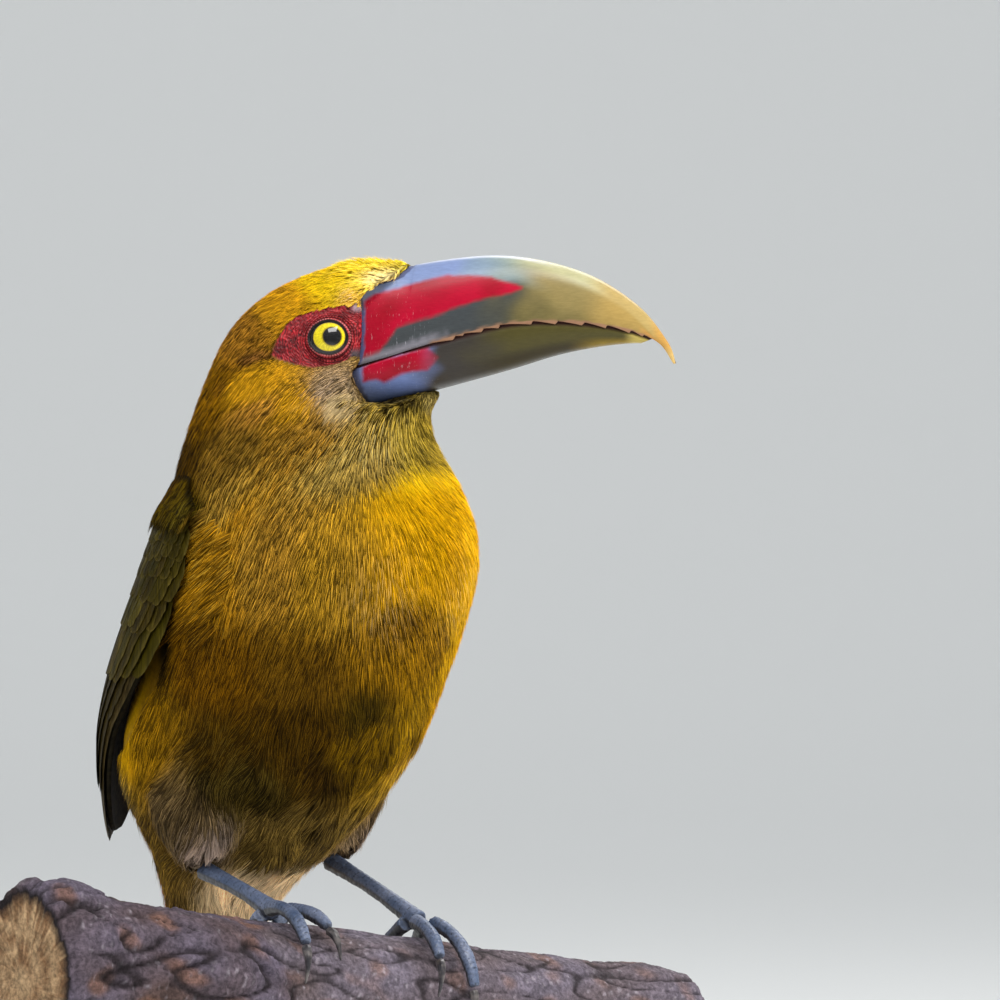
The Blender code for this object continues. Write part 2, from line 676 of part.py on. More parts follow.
def make_stand(perch_under):
    chamfer = 3 * MM
    base = turned(
        [
            (BASE_RADIUS - 0.6 * MM, 0.0),
            (BASE_RADIUS, 0.6 * MM),
            (BASE_RADIUS, BASE_HEIGHT - chamfer),
            (BASE_RADIUS - 0.3 * chamfer, BASE_HEIGHT - 0.3 * chamfer),
            (BASE_RADIUS - chamfer, BASE_HEIGHT),
        ]
    )
    bmesh.ops.translate(base, vec=(0, -PERCH_Y, 0), verts=base.verts)
    base = new_object("stand_base", base, "stand_wood")
    floor = BASE_HEIGHT - SOCKET_DEPTH
    hole = turned([(ROD_RADIUS + GAP, floor), (ROD_RADIUS + GAP, BASE_HEIGHT + 5 * MM)], 24)
    cut(base, new_object("base_hole", hole), "rod")
    rod = turned([(ROD_RADIUS, floor + GAP), (ROD_RADIUS, perch_under + SOCKET_DEPTH - GAP)], 24)
    new_object("stand_rod", rod, "stand_steel")
    inner, outer, low, high = ROD_RADIUS + GAP, 11 * MM, BASE_HEIGHT + GAP, BASE_HEIGHT + 4 * MM
    collar = turned([(outer, low), (outer, high - 1 * MM), (outer - 1 * MM, high)], 32)
    collar = new_object("stand_collar", collar, "stand_steel")
    bore = turned([(inner, low - 1 * MM), (inner, high + 1 * MM)], 24)
    cut(collar, new_object("collar_hole", bore), "rod")


def main():
    clear_scene()
    make_trunk()
    make_neck()
    make_head()
    make_upper_bill()
    make_lower_bill()
    trunk_cutter = new_object("trunk_space", body_mesh(0.0, NECK_CUT, GAP))
    make_tail(trunk_cutter)
    for name, side in (("left", 1), ("right", -1)):
        make_wing(f"wing_{name}", side)
        make_toes(name, side, make_leg(name, side, trunk_cutter))
    make_stand(make_perch())


main()
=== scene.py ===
"""The looks of a perched saffron toucanet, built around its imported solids.

One skin stands for the flesh of trunk, neck, head and thighs, and a coat of mesh tufts lies on it.
Lengths are in metres, and MM makes them from millimetres. The bird's own frame is the profile
frame: forward and up lie in the plane that cuts the bird in half, and side is to its left. That
plane turns about the neck's line, from the trunk, which faces -Y, to the turned head.
"""

import math

import bmesh
import bpy
import numpy as np
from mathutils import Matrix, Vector
from mathutils.bvhtree import BVHTree
from mathutils.kdtree import KDTree


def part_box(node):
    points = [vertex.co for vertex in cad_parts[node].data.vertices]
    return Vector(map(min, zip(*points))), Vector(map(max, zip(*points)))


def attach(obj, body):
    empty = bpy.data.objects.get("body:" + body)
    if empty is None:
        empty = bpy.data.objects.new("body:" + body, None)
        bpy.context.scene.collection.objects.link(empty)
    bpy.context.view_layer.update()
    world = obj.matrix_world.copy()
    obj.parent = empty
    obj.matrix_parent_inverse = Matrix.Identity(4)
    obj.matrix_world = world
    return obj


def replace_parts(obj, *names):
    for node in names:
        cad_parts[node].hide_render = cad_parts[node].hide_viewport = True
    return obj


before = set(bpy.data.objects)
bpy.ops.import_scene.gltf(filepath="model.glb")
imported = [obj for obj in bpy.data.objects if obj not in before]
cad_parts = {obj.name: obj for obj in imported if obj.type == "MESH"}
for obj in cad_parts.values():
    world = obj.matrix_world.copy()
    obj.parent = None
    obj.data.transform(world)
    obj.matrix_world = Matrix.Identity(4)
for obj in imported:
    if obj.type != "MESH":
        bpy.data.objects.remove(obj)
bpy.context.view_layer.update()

MM = 0.001
UP = Vector((0, 0, 1))
RANDOM = np.random.default_rng(7)
SIDES = (("left", 1), ("right", -1))

# The branch, in mm: the height of its top and its radius halfway along, how both change across the
# stand, its place towards the back, and its ends.
PERCH_TOP, PERCH_RADIUS = 158.0, 17.0
PERCH_SLOPE, PERCH_TAPER = -0.115, 0.035
PERCH_Y = -18.0
PERCH_ENDS = (-106.0, 108.0)

# ---------------------------------------------------------------- the bird's own frame

EYE_PLACE = (5.6, 142.9)  # forward and up of both eyeballs, in mm
EYE_RADIUS = 6.6 * MM


def middle(node):
    low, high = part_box(node)
    return (low + high) / 2


EYES = {"left": middle("eye_left"), "right": middle("eye_right")}
HEAD_LEFT = (EYES["left"] - EYES["right"]).normalized()
HEAD_AHEAD = HEAD_LEFT.cross(UP)
HEAD_AXES = np.array([HEAD_LEFT, HEAD_AHEAD, UP])
HEAD_TURN = math.degrees(math.atan2(HEAD_LEFT.y, HEAD_LEFT.x))
ORIGIN = (EYES["left"] + EYES["right"]) / 2 - HEAD_AHEAD * EYE_PLACE[0] * MM - UP * EYE_PLACE[1] * MM

# How far the bird's middle plane is turned at each height, as a share of the head's turn, and how
# much that height falls or rises towards the front.
TURN_HEIGHTS = (99, 109, 119, 129, 139)
TURN_SHARES = (0.0, 0.18, 0.55, 0.84, 1.0)
TILT_HEIGHTS, TILTS = (105, 135), (0.0, 0.17)


def turn_at(up):
    return np.radians(HEAD_TURN) * np.interp(up, TURN_HEIGHTS, TURN_SHARES)


def to_profile(points):
    """World points as rows of (forward, side, up) in mm, and the turn of the plane at each."""
    away = (np.asarray(points, float) - np.array(ORIGIN)) / MM
    turn = turn_at(away[:, 2])
    for _ in range(2):
        forward = away[:, 0] * np.sin(turn) - away[:, 1] * np.cos(turn)
        turn = turn_at(away[:, 2] + forward * np.interp(away[:, 2], TILT_HEIGHTS, TILTS))
    forward = away[:, 0] * np.sin(turn) - away[:, 1] * np.cos(turn)
    side = away[:, 0] * np.cos(turn) + away[:, 1] * np.sin(turn)
    return np.stack([forward, side, away[:, 2]], 1), turn


def from_profile(directions, turn):
    """Directions in the profile frame as world directions."""
    forward, side, up = directions.T
    x = forward * np.sin(turn) + side * np.cos(turn)
    y = -forward * np.cos(turn) + side * np.sin(turn)
    return np.stack([x, y, up], 1)


def folded(profile):
    """Both sides of the bird laid on the left one."""
    return np.stack([profile[:, 0], np.abs(profile[:, 1]), profile[:, 2]], 1)


def head_point(forward, side, up):
    """A world point from the head's frame, in mm."""
    return ORIGIN + (HEAD_AHEAD * forward + HEAD_LEFT * side + UP * up) * MM


# ---------------------------------------------------------------- arithmetic on arrays


def unit(vectors):
    return vectors / np.maximum(np.linalg.norm(vectors, axis=-1, keepdims=True), 1e-12)


def smoothstep(low, high, value):
    share = np.clip((value - low) / (high - low), 0, 1)
    return share * share * (3 - 2 * share)


def squared_reach(places, centre, reach):
    """Squared distance from a centre, where 1 is the surface of the ellipsoid reach."""
    return (((places - np.array(centre)) / np.array(reach)) ** 2).sum(1)


def angle_between(directions, axis):
    """Degrees between rows of unit directions and one axis."""
    return np.degrees(np.arccos(np.clip(directions @ axis, -1, 1)))


def waves(points, size, seed):
    """A smooth random field over space, near -1 to 1, whose bumps are about size across."""
    count = 14
    random = np.random.default_rng(seed)
    directions = unit(random.normal(size=(count, 3)))
    rates = random.uniform(0.7, 1.4, count) * math.pi / size
    phases = random.uniform(0, 2 * math.pi, count)
    total = np.zeros(len(points))
    for direction, rate, phase in zip(directions, rates, phases):
        total += np.sin(points @ direction * rate + phase)
    return total / math.sqrt(count)


def srgb(red, green, blue):
    """A display colour, 0 to 255, as linear light."""
    share = np.array((red, green, blue), float) / 255
    return np.where(share <= 0.04045, share / 12.92, ((share + 0.055) / 1.055) ** 2.4)


def toward_colour(colour, target, share):
    return colour + (target - colour) * np.clip(share, 0, 1)[:, None]


def painted(colour, *layers):
    """A colour with others laid over it in turn. Each layer is a colour and its share."""
    for layer, share in layers:
        colour = toward_colour(colour, layer, share)
    return colour


def polygon_distance(points, outline):
    """Distance of flat points from a closed outline, negative inside it."""
    ends = np.roll(outline, -1, 0)
    nearest = np.full(len(points), np.inf)
    inside = np.zeros(len(points), bool)
    for start, end in zip(outline, ends):
        run = end - start
        share = np.clip((points - start) @ run / (run @ run), 0, 1)
        nearest = np.minimum(nearest, np.linalg.norm(points - start - share[:, None] * run, axis=1))
        crosses = (start[1] > points[:, 1]) != (end[1] > points[:, 1])
        at = start[0] + (points[:, 1] - start[1]) * run[0] / (run[1] if run[1] else 1e-12)
        inside ^= crosses & (points[:, 0] < at)
    return np.where(inside, -nearest, nearest)


def spline(table, places):
    """Rows of a table as one smooth curve (Catmull-Rom), read at an array of places."""
    places = np.clip(places, 0, len(table) - 1)
    k = np.minimum(places.astype(int), len(table) - 2)
    t = (places - k)[:, None]
    padded = np.concatenate([2 * table[:1] - table[1:2], table, 2 * table[-1:] - table[-2:-1]])
    before, start, end, after = (padded[k + step] for step in range(4))
    slope_in, slope_out = (end - before) / 2, (after - start) / 2
    first = (2 * t**3 - 3 * t**2 + 1) * start + (t**3 - 2 * t**2 + t) * slope_in
    return first + (3 * t**2 - 2 * t**3) * end + (t**3 - t**2) * slope_out


# ---------------------------------------------------------------- markings and lie of the plumage

# Each marking: forward, distance from the middle plane and up of its centre in mm, its reach
# forward, sideways and up, and its colour.
MARKINGS = (
    # head and neck
    ((14, 0, 162), (8, 14, 7), (239, 211, 35)),  # forehead
    ((4, 8, 161), (8, 12, 6), (216, 183, 15)),  # front of the crown
    ((-6, 9, 156), (8, 12, 7), (195, 143, 19)),  # crown
    ((-16, 8, 148), (8, 11, 8), (145, 100, 26)),  # back of the crown
    ((-22, 10, 132), (8, 14, 9), (121, 83, 5)),  # nape
    ((-24, 16, 114), (10, 16, 10), (68, 46, 3)),  # hind neck
    ((-18, 30, 105), (6, 8, 8), (73, 57, 2)),  # mantle in front of the wing
    ((-11.8, 18, 140.5), (3, 6, 1.6), (118, 78, 31)),  # groove behind the eye, with its shade painted in darker, here and in the next row
    ((-18.4, 16, 134.5), (3, 8, 2.5), (98, 65, 12)),
    ((-10, 20, 134.0), (7, 8, 3.5), (192, 141, 20)),  # ear coverts
    ((-6, 20, 129), (6, 8, 4), (152, 108, 35)),
    ((2, 22, 130), (6, 8, 5), (175, 128, 12)),  # cheek
    ((8, 20, 133), (5, 7, 3.5), (150, 124, 90)),  # malar
    ((12, 19, 129.5), (3, 6, 3), (174, 151, 106)),
    ((12, 15, 154), (3, 4, 3), (214, 171, 51)),  # lores
    ((19, 9, 158.6), (5, 6, 2), (247, 224, 148)),
    ((-7, 28, 119), (9, 12, 7), (114, 84, 23)),  # side of the neck
    ((0, 32, 108), (5, 8, 7), (150, 114, 38)),
    ((6, 26, 122), (8, 12, 6), (134, 96, 22)),
    ((24, 19, 118), (7, 9, 8), (144, 117, 50)),  # beard
    ((27, 6, 122), (8, 9, 9), (151, 126, 39)),  # throat
    ((23, 7, 129), (6, 7, 2.2), (45, 37, 21)),  # painted shadow under the bill
    ((31, 4, 129.5), (4, 6, 3), (142, 124, 68)),
    ((36, 8, 115), (5, 7, 6), (240, 202, 6)),
    # trunk
    ((-8, 33, 104), (5, 5, 6), (71, 58, 5)),  # at the wing's bend
    ((40, 8, 108), (9, 12, 8), (191, 143, 2)),  # foot of the throat
    ((43, 4, 92), (10, 16, 12), (190, 140, 2)),  # middle of the breast
    ((34, 22, 92), (10, 12, 12), (160, 120, 26)),
    ((22, 32, 94), (12, 10, 12), (154, 113, 32)),  # side of the breast
    ((6, 36, 92), (9, 10, 14), (176, 123, 13)),  # breast beside the wing
    ((38, 6, 72), (10, 12, 9), (139, 99, 7)),  # lower breast
    ((26, 26, 68), (12, 12, 9), (98, 68, 8)),
    ((6, 34, 70), (12, 12, 12), (104, 68, 2)),
    ((-16, 34, 73), (5, 6, 11), (20, 13, 2)),  # flank in the wing's shade
    ((4, 34, 50), (9, 9, 9), (71, 49, 2)),
    ((-36, 27, 37), (7, 8, 6), (78, 66, 34)),
    ((20, 21, 50), (12, 12, 10), (70, 47, 2)),  # belly
    ((26, 5, 48), (8, 9, 8), (108, 79, 4)),  # middle of the belly
    ((6, 26, 38), (12, 11, 8), (60, 47, 10)),
    ((-20, 34, 52), (10, 12, 12), (134, 96, 6)),  # flank
    ((2, 12, 22), (10, 12, 8), (118, 94, 41)),  # lower belly
    ((-10, 34, 29), (8, 8, 12), (98, 79, 49)),  # thigh
    ((-5, 28, 20), (6, 7, 8), (170, 150, 138)),  # its pale cuff
    ((8, 20, 16), (9, 8, 8), (130, 105, 64)),
    ((-32, 20, 18), (10, 12, 9), (108, 82, 27)),  # side of the vent
    ((-12, 4, 4), (12, 12, 9), (240, 212, 168)),  # undertail coverts
    ((-30, 6, -12), (9, 12, 9), (168, 132, 62)),
    # upper side
    ((-36, 10, 98), (9, 22, 12), (64, 54, 12)),  # mantle
    ((-42, 8, 78), (9, 20, 14), (58, 52, 14)),  # back
    ((-50, 8, 52), (10, 20, 14), (59, 53, 18)),
    ((-54, 6, 30), (9, 18, 11), (150, 28, 16)),  # rump
    ((-52, 6, 12), (9, 16, 9), (130, 28, 16)),
    ((-48, 8, -8), (8, 12, 8), (62, 58, 22)),  # upper tail coverts
)
# Patches that lie on one side only, where the loose plumage of this bird is parted or catches the
# light: as MARKINGS, with side signed and positive to the left.
ONE_SIDED = (
    ((-33, -29, 57), (8, 9, 10), (238, 180, 4)),  # right flank under the wing, painted bright for the rim of light on its edge
    ((36, 16, 92), (8, 8, 14), (217, 167, 4)),  # left side of the breast
    ((24, 31, 92), (9, 9, 14), (196, 144, 10)),
    ((31, 23, 73), (9, 9, 12), (198, 151, 7)),
    ((16, 32, 72), (10, 9, 12), (192, 140, 10)),
    ((21, 22, 54), (7, 7, 10), (188, 138, 10)),  # left side of the belly
    ((6, 34, 56), (9, 9, 12), (156, 112, 12)),
    ((14, 22, 42), (8, 8, 8), (190, 148, 38)),
    ((23, 8, 51), (6, 5, 8), (154, 116, 10)),
    ((27, -8, 58), (6, 6, 6), (64, 48, 4)),  # dark partings on the belly
    ((23, -13, 41), (6, 6, 6), (46, 29, 3)),
    ((36, -4, 82), (6, 7, 7), (114, 79, 4)),
)
ONE_SIDED_WEIGHT = 2.5
# How fast a marking gives way to its neighbours. The marks run together more softly on the left of
# the trunk, which the photograph hides.
MARK_POWER, SOFTER_POWER = 3.0, 1.2
SOFT_FROM_SIDE, SOFT_UNDER = (5.0, 19.0), (112.0, 98.0)  # mm where the softening begins and is full

# The red skin round the eye, as (forward, up) in mm.
BARE_OUTLINE = np.array(
    ((-8.2, 139.9), (-7.2, 143.0), (-4.8, 147.4), (-0.8, 150.3), (3.0, 151.5), (6.6, 152.4))
    + ((10.4, 152.6), (15.0, 151.2), (15.0, 141.0), (10.6, 138.6), (5.7, 137.3), (1.9, 136.9))
    + ((-2.2, 137.6), (-6.4, 138.9))
)
BARE_FROM_SIDE = 9.0  # mm from the middle plane

# The body's line from tail to forehead, as (forward, up) in mm. The coat lies against it.
SPINE = np.array(
    ((-38, -18), (-34, 4), (-28, 18), (-21, 31), (-14, 45), (-8, 60), (-2, 74), (2, 88), (3, 100))
    + ((2, 111), (2, 121), (3, 130), (5, 137), (9, 143), (16, 147), (28, 149), (44, 150)),
    float,
)
BILL_ROOT = np.array((23.0, 0.0, 139.5))

# Pale barb ends, as MARKINGS: centre, reach, colour, and the most that a barb takes of it.
PALE_ENDS = (
    ((15, 0, 161.5), (9, 12, 4), (252, 240, 190), 0.8),  # forehead
    ((12, 13, 154.5), (3, 6, 2.5), (220, 206, 212), 0.9),  # lores
    ((18, 9, 158.4), (5, 6, 1.9), (222, 204, 204), 0.8),
    ((9, 19, 132), (6, 8, 5), (214, 196, 184), 0.8),  # malar
    ((20, 15, 121), (9, 10, 9), (232, 218, 150), 0.9),  # beard
    ((12, 24, 112), (14, 14, 12), (214, 190, 84), 0.6),
    ((4, 35, 95), (12, 10, 16), (220, 200, 90), 0.6),  # breast beside the wing
    ((40, 14, 84), (6, 10, 12), (246, 236, 200), 0.35),  # front of the breast
    ((0, 28, 44), (22, 16, 12), (140, 116, 50), 0.7),  # belly
    ((-8, 28, 22), (9, 9, 9), (168, 152, 152), 0.8),  # thigh
)


def bare_distance(profile):
    """Distance in mm from the edge of the bare skin round the eye, negative inside it."""
    flat = polygon_distance(profile[:, [0, 2]], BARE_OUTLINE)
    return np.where(np.abs(profile[:, 1]) > BARE_FROM_SIDE, flat, np.abs(flat) + 4.0)


def plumage_colour(profile):
    """The linear colour of the plumage at rows of (forward, side, up)."""
    total, weights = np.zeros((len(profile), 3)), np.full(len(profile), 1e-9)
    soft = smoothstep(*SOFT_FROM_SIDE, profile[:, 1]) * smoothstep(*SOFT_UNDER, profile[:, 2])
    power = MARK_POWER - SOFTER_POWER * soft
    kinds = ((folded(profile), MARKINGS, 1.0), (profile, ONE_SIDED, ONE_SIDED_WEIGHT))
    for places, marks, force in kinds:
        for centre, reach, colour in marks:
            weight = force / (0.25 + squared_reach(places, centre, reach)) ** power
            total += weight[:, None] * srgb(*colour)
            weights += weight
    return total / weights[:, None]


def pale_ends(profile):
    """Colour of the palest barb ends, and how much of it a barb may take."""
    places = folded(profile)
    total, shares = np.zeros((len(places), 3)), np.full(len(places), 1e-9)
    strength = np.zeros(len(places))
    for centre, reach, colour, most in PALE_ENDS:
        share = most * np.exp(-squared_reach(places, centre, reach))
        total += share[:, None] * srgb(*colour)
        shares += share
        strength = np.maximum(strength, share)
    return total / shares[:, None], strength


def loose_plumage(up):
    """1 on the belly, where the feathers lie in loose locks, 0 on the sleek breast and head."""
    return smoothstep(66, 40, up)


def spine_weights(profile, places, spread):
    """How near each point is to each place along the body's line."""
    distance = np.linalg.norm(profile[:, None, [0, 2]] - places[None], axis=2)
    return np.exp(-((distance - distance.min(1, keepdims=True)) / spread))


def lie_of_coat(points, normals):
    """Unit directions along the surface in which the feathers point, from bill to tail."""
    profile, turn = to_profile(points)
    forward, side, up = profile.T
    starts, ends = SPINE[:-1], SPINE[1:]
    weight = spine_weights(profile, (starts + ends) / 2, 9.0)
    along = (weight[:, :, None] * unit(starts - ends)[None]).sum(1)
    guide = unit(np.stack([along[:, 0], np.zeros(len(along)), along[:, 1]], 1))
    # round the bill they point away from it
    from_bill = profile - BILL_ROOT
    near = np.exp(-np.maximum(np.linalg.norm(from_bill, axis=1) - 14, 0) / 20.0)
    near = near * smoothstep(152, 138, up) * smoothstep(90, 112, up)
    guide += 2.2 * near[:, None] * unit(from_bill)
    # on the breast they fan out from a line on its right
    on_breast = smoothstep(35, 70, up) * (1 - smoothstep(100, 125, up)) * smoothstep(-5, 20, forward)
    guide[:, 1] += on_breast * 0.55 * np.tanh((side + 18) / 16)
    guide = from_profile(guide, turn)
    loose = loose_plumage(up)
    sway = (0.09 + 0.34 * loose) * waves(points, 9 * MM, 11)
    sway += (0.06 + 0.16 * loose) * waves(points, 3.2 * MM, 12)
    guide = unit(guide - (guide * normals).sum(1, keepdims=True) * normals)
    return unit(guide + sway[:, None] * np.cross(normals, guide))


# ---------------------------------------------------------------- meshes


def add_object(name, data):
    made = bpy.data.objects.new(name, data)
    bpy.context.scene.collection.objects.link(made)
    return made


def new_mesh_object(name, points, faces, material=None):
    """A smooth object from arrays: points (n, 3), and faces (m, 3) or (m, 4) of point numbers."""
    mesh = bpy.data.meshes.new(name)
    faces = np.asarray(faces, np.int32)
    mesh.vertices.add(len(points))
    mesh.vertices.foreach_set("co", np.asarray(points, np.float32).ravel())
    mesh.loops.add(faces.size)
    mesh.loops.foreach_set("vertex_index", faces.ravel())
    mesh.polygons.add(len(faces))
    mesh.polygons.foreach_set("loop_start", np.arange(len(faces), dtype=np.int32) * faces.shape[1])
    mesh.update(calc_edges=True)
    mesh.validate()
    mesh.shade_smooth()
    if material:
        mesh.materials.append(material)
    return add_object(name, mesh)


def set_colours(mesh, name, colours):
    layer = mesh.color_attributes.new(name=name, type="FLOAT_COLOR", domain="POINT")
    full = np.ones((len(colours), 4), np.float32)
    full[:, :3] = colours
    layer.data.foreach_set("color", full.ravel())


def set_values(mesh, name, values):
    layer = mesh.attributes.new(name=name, type="FLOAT", domain="POINT")
    layer.data.foreach_set("value", np.asarray(values, np.float32))


def set_vectors(mesh, name, vectors):
    layer = mesh.attributes.new(name=name, type="FLOAT_VECTOR", domain="POINT")
    layer.data.foreach_set("vector", np.asarray(vectors, np.float32).ravel())


def set_bake_map(mesh, uvs):
    """Gives each corner the UV place of its point, in the map named OFBake."""
    corners = np.empty(len(mesh.loops), np.int32)
    mesh.loops.foreach_get("vertex_index", corners)
    layer = mesh.uv_layers.new(name="OFBake", do_init=False)
    layer.uv.foreach_set("vector", uvs[corners].astype(np.float32).ravel())


def rows_of(items, name, kind=np.float32):
    found = np.empty(len(items) * 3, kind)
    items.foreach_get(name, found)
    return found.reshape(-1, 3)


def points_of(mesh):
    return rows_of(mesh.vertices, "co").astype(float)


def normals_of(mesh):
    return rows_of(mesh.vertex_normals, "vector").astype(float)


def triangles_of(mesh):
    mesh.calc_loop_triangles()
    return rows_of(mesh.loop_triangles, "vertices", np.int32)


def move_points(mesh, points):
    mesh.vertices.foreach_set("co", np.asarray(points, np.float32).ravel())
    mesh.update()


def joined(soups):
    """Several pairs of points and triangles as one."""
    points, faces, count = [], [], 0
    for some_points, some_faces in soups:
        points.append(some_points)
        faces.append(some_faces + count)
        count += len(some_points)
    return np.concatenate(points), np.concatenate(faces)


def node_soup(names):
    """The triangles of several CAD nodes as one pair of arrays."""
    meshes = [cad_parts[name].data for name in names]
    return joined([(points_of(mesh), triangles_of(mesh)) for mesh in meshes])


def node_tree(names):
    points, faces = node_soup(names)
    return BVHTree.FromPolygons(points.tolist(), faces.tolist())


BILL_TREE = node_tree(("bill_upper", "bill_lower"))


def bill_distance(points):
    """Distance of each point from the bill's surface, up to 40 mm."""
    far = 40 * MM
    return np.array([BILL_TREE.find_nearest(point, far)[3] or far for point in points.tolist()])


def ellipsoid(centre, forward, side, up):
    """Points and faces of an ellipsoid in the head's frame, with radii in mm."""
    bm = bmesh.new()
    bmesh.ops.create_uvsphere(bm, u_segments=24, v_segments=12, radius=1)
    points = np.array([vert.co for vert in bm.verts])
    bmesh.ops.triangulate(bm, faces=bm.faces)
    faces = np.array([[vert.index for vert in face.verts] for face in bm.faces])
    bm.free()
    axes = np.array([HEAD_AHEAD * forward, HEAD_LEFT * side, UP * up]) * MM
    return points @ axes + np.array(centre), faces


def remeshed(name, soup, voxel, smoothing):
    """One closed skin round a soup of closed triangles."""
    draft = new_mesh_object(f"{name}_draft", *soup)
    remesh = draft.modifiers.new("skin", "REMESH")
    remesh.mode = "VOXEL"
    remesh.voxel_size = voxel
    smooth = draft.modifiers.new("smooth", "SMOOTH")
    smooth.factor = 0.5
    smooth.iterations = smoothing
    graph = bpy.context.evaluated_depsgraph_get()
    mesh = bpy.data.meshes.new_from_object(draft.evaluated_get(graph), depsgraph=graph)
    bpy.data.objects.remove(draft)
    mesh.name = name
    mesh.materials.clear()
    mesh.shade_smooth()
    return add_object(name, mesh)


def ring_quads(rows, count):
    """Quads between closed rings of points, row after row."""
    row, column = np.meshgrid(np.arange(rows - 1), np.arange(count), indexing="ij")
    after = (column + 1) % count
    a, b = row * count + column, row * count + after
    c, d = (row + 1) * count + after, (row + 1) * count + column
    return np.stack([a, b, c, d], -1).reshape(-1, 4)


def ring_solid(rings):
    """Points and triangles of a closed solid through rings. Its ends are closed by fans."""
    rows, count = rings.shape[:2]
    quads = ring_quads(rows, count)
    faces = [quads[:, [0, 1, 2]], quads[:, [0, 2, 3]]]
    k = np.arange(count)
    points = np.concatenate([rings.reshape(-1, 3), rings[:1].mean(1), rings[-1:].mean(1)])
    first, last = rows * count, rows * count + 1
    faces.append(np.stack([np.full(count, first), (k + 1) % count, k], 1))
    end = (rows - 1) * count
    faces.append(np.stack([np.full(count, last), end + k, end + (k + 1) % count], 1))
    return points, np.concatenate(faces)


def revolved(profile, centre_y, segments):
    """Rings round an upright axis from rows of (radius, height)."""
    turns = 2 * math.pi * np.arange(segments) / segments
    rings = [
        np.stack([r * np.cos(turns), centre_y + r * np.sin(turns), np.full(segments, z)], 1)
        for r, z in profile
    ]
    return np.array(rings)


class Surface:
    """A mesh that points can be laid on."""

    def __init__(self, mesh):
        self.points = points_of(mesh)
        self.faces = triangles_of(mesh)
        self.vertex_normals = normals_of(mesh)
        self.tree = BVHTree.FromPolygons(self.points.tolist(), self.faces.tolist())

    def nearest(self, points):
        """The nearest places on the surface, and the smooth normals there."""
        places = np.empty((len(points), 3))
        faces = np.empty(len(points), int)
        for k, point in enumerate(points.tolist()):
            found, _, face, _ = self.tree.find_nearest(point)
            places[k] = found
            faces[k] = face
        return places, unit(self.vertex_normals[self.faces[faces]].mean(1))

    def scatter(self, count):
        """Random places spread evenly over the surface, with their normals."""
        a, b, c = (self.points[self.faces[:, k]] for k in range(3))
        area = np.linalg.norm(np.cross(b - a, c - a), axis=1)
        face = RANDOM.choice(len(area), count, p=area / area.sum())
        first, second = RANDOM.random((2, count))
        turned = first + second > 1
        first, second = np.where(turned, 1 - first, first), np.where(turned, 1 - second, second)
        parts = np.stack([1 - first - second, first, second], 1)
        corners = self.faces[face]
        places = (self.points[corners] * parts[:, :, None]).sum(1)
        return places, unit((self.vertex_normals[corners] * parts[:, :, None]).sum(1))


# ---------------------------------------------------------------- materials


class Material:
    """A Principled material whose nodes are added by plain calls."""

    def __init__(self, name, **sockets):
        self.made = bpy.data.materials.new(name)
        self.made.use_nodes = True
        self.tree = self.made.node_tree
        self.shader = self.tree.nodes["Principled BSDF"]
        for socket, value in sockets.items():
            self.set(socket.replace("_", " "), value)

    def put(self, value, target):
        """Links a node's output to an input, or sets the input's constant."""
        if isinstance(value, bpy.types.NodeSocket):
            self.tree.links.new(value, target)
        elif target.type == "RGBA":
            target.default_value = (*value, 1.0)
        else:
            target.default_value = value

    def set(self, socket, value):
        self.put(value, self.shader.inputs[socket])

    def node(self, kind, output=0, settings=None, **inputs):
        """Adds a node. inputs are by socket name, or by number as i0, i1."""
        made = self.tree.nodes.new(f"ShaderNode{kind}")
        for key, value in (settings or {}).items():
            setattr(made, key, value)
        for key, value in inputs.items():
            numbered = key[0] == "i" and key[1:].isdigit()
            self.put(value, made.inputs[int(key[1:]) if numbered else key.replace("_", " ")])
        return made.outputs[output]

    def attribute(self, name, output="Fac"):
        return self.node("Attribute", output=output, settings={"attribute_name": name})

    def tint(self):
        """The colours that the mesh carries."""
        return self.attribute("tint", "Color")

    def place(self):
        return self.node("TexCoord", output="Object")

    def math(self, operation, first, second):
        return self.node("Math", settings={"operation": operation}, i0=first, i1=second)

    def stretched(self, vector, factors):
        return self.node("VectorMath", settings={"operation": "MULTIPLY"}, i0=vector, i1=factors)

    def noise(self, scale, detail=3.0, rough=0.5, vector=None):
        inputs = {"Scale": scale, "Detail": detail, "Roughness": rough}
        return self.node("TexNoise", **inputs, Vector=vector or self.place())

    def ramp(self, value, *stops, smooth=True):
        """A colour ramp. Each stop is a place and a colour or a grey."""
        made = self.tree.nodes.new("ShaderNodeValToRGB")
        ramp = made.color_ramp
        ramp.interpolation = "EASE" if smooth else "LINEAR"
        while len(ramp.elements) < len(stops):
            ramp.elements.new(0.5)
        for element, (place, colour) in zip(ramp.elements, stops):
            element.position = place
            shade = colour if hasattr(colour, "__len__") else (colour,) * 3
            element.color = (*shade, 1.0)
        self.tree.links.new(value, made.inputs[0])
        return made.outputs[0]

    def mix(self, share, first, second, blend="MIX"):
        settings = {"data_type": "RGBA", "blend_type": blend}
        return self.node("Mix", output=2, settings=settings, i0=share, i6=first, i7=second)

    def times(self, first, second):
        """One colour times another."""
        return self.mix(1.0, first, second, "MULTIPLY")

    def bump(self, height, distance, strength=1.0, normal=None):
        inputs = {"Height": height, "Distance": distance, "Strength": strength}
        if normal:
            inputs["Normal"] = normal
        return self.node("Bump", **inputs)


def coat_material():
    made = Material("coat", Roughness=0.7, Specular_IOR_Level=0.04)
    mottled = made.times(made.tint(), made.ramp(made.noise(420.0, 2.0), (0.3, 0.92), (0.7, 1.06)))
    made.set("Base Color", mottled)
    return made.made


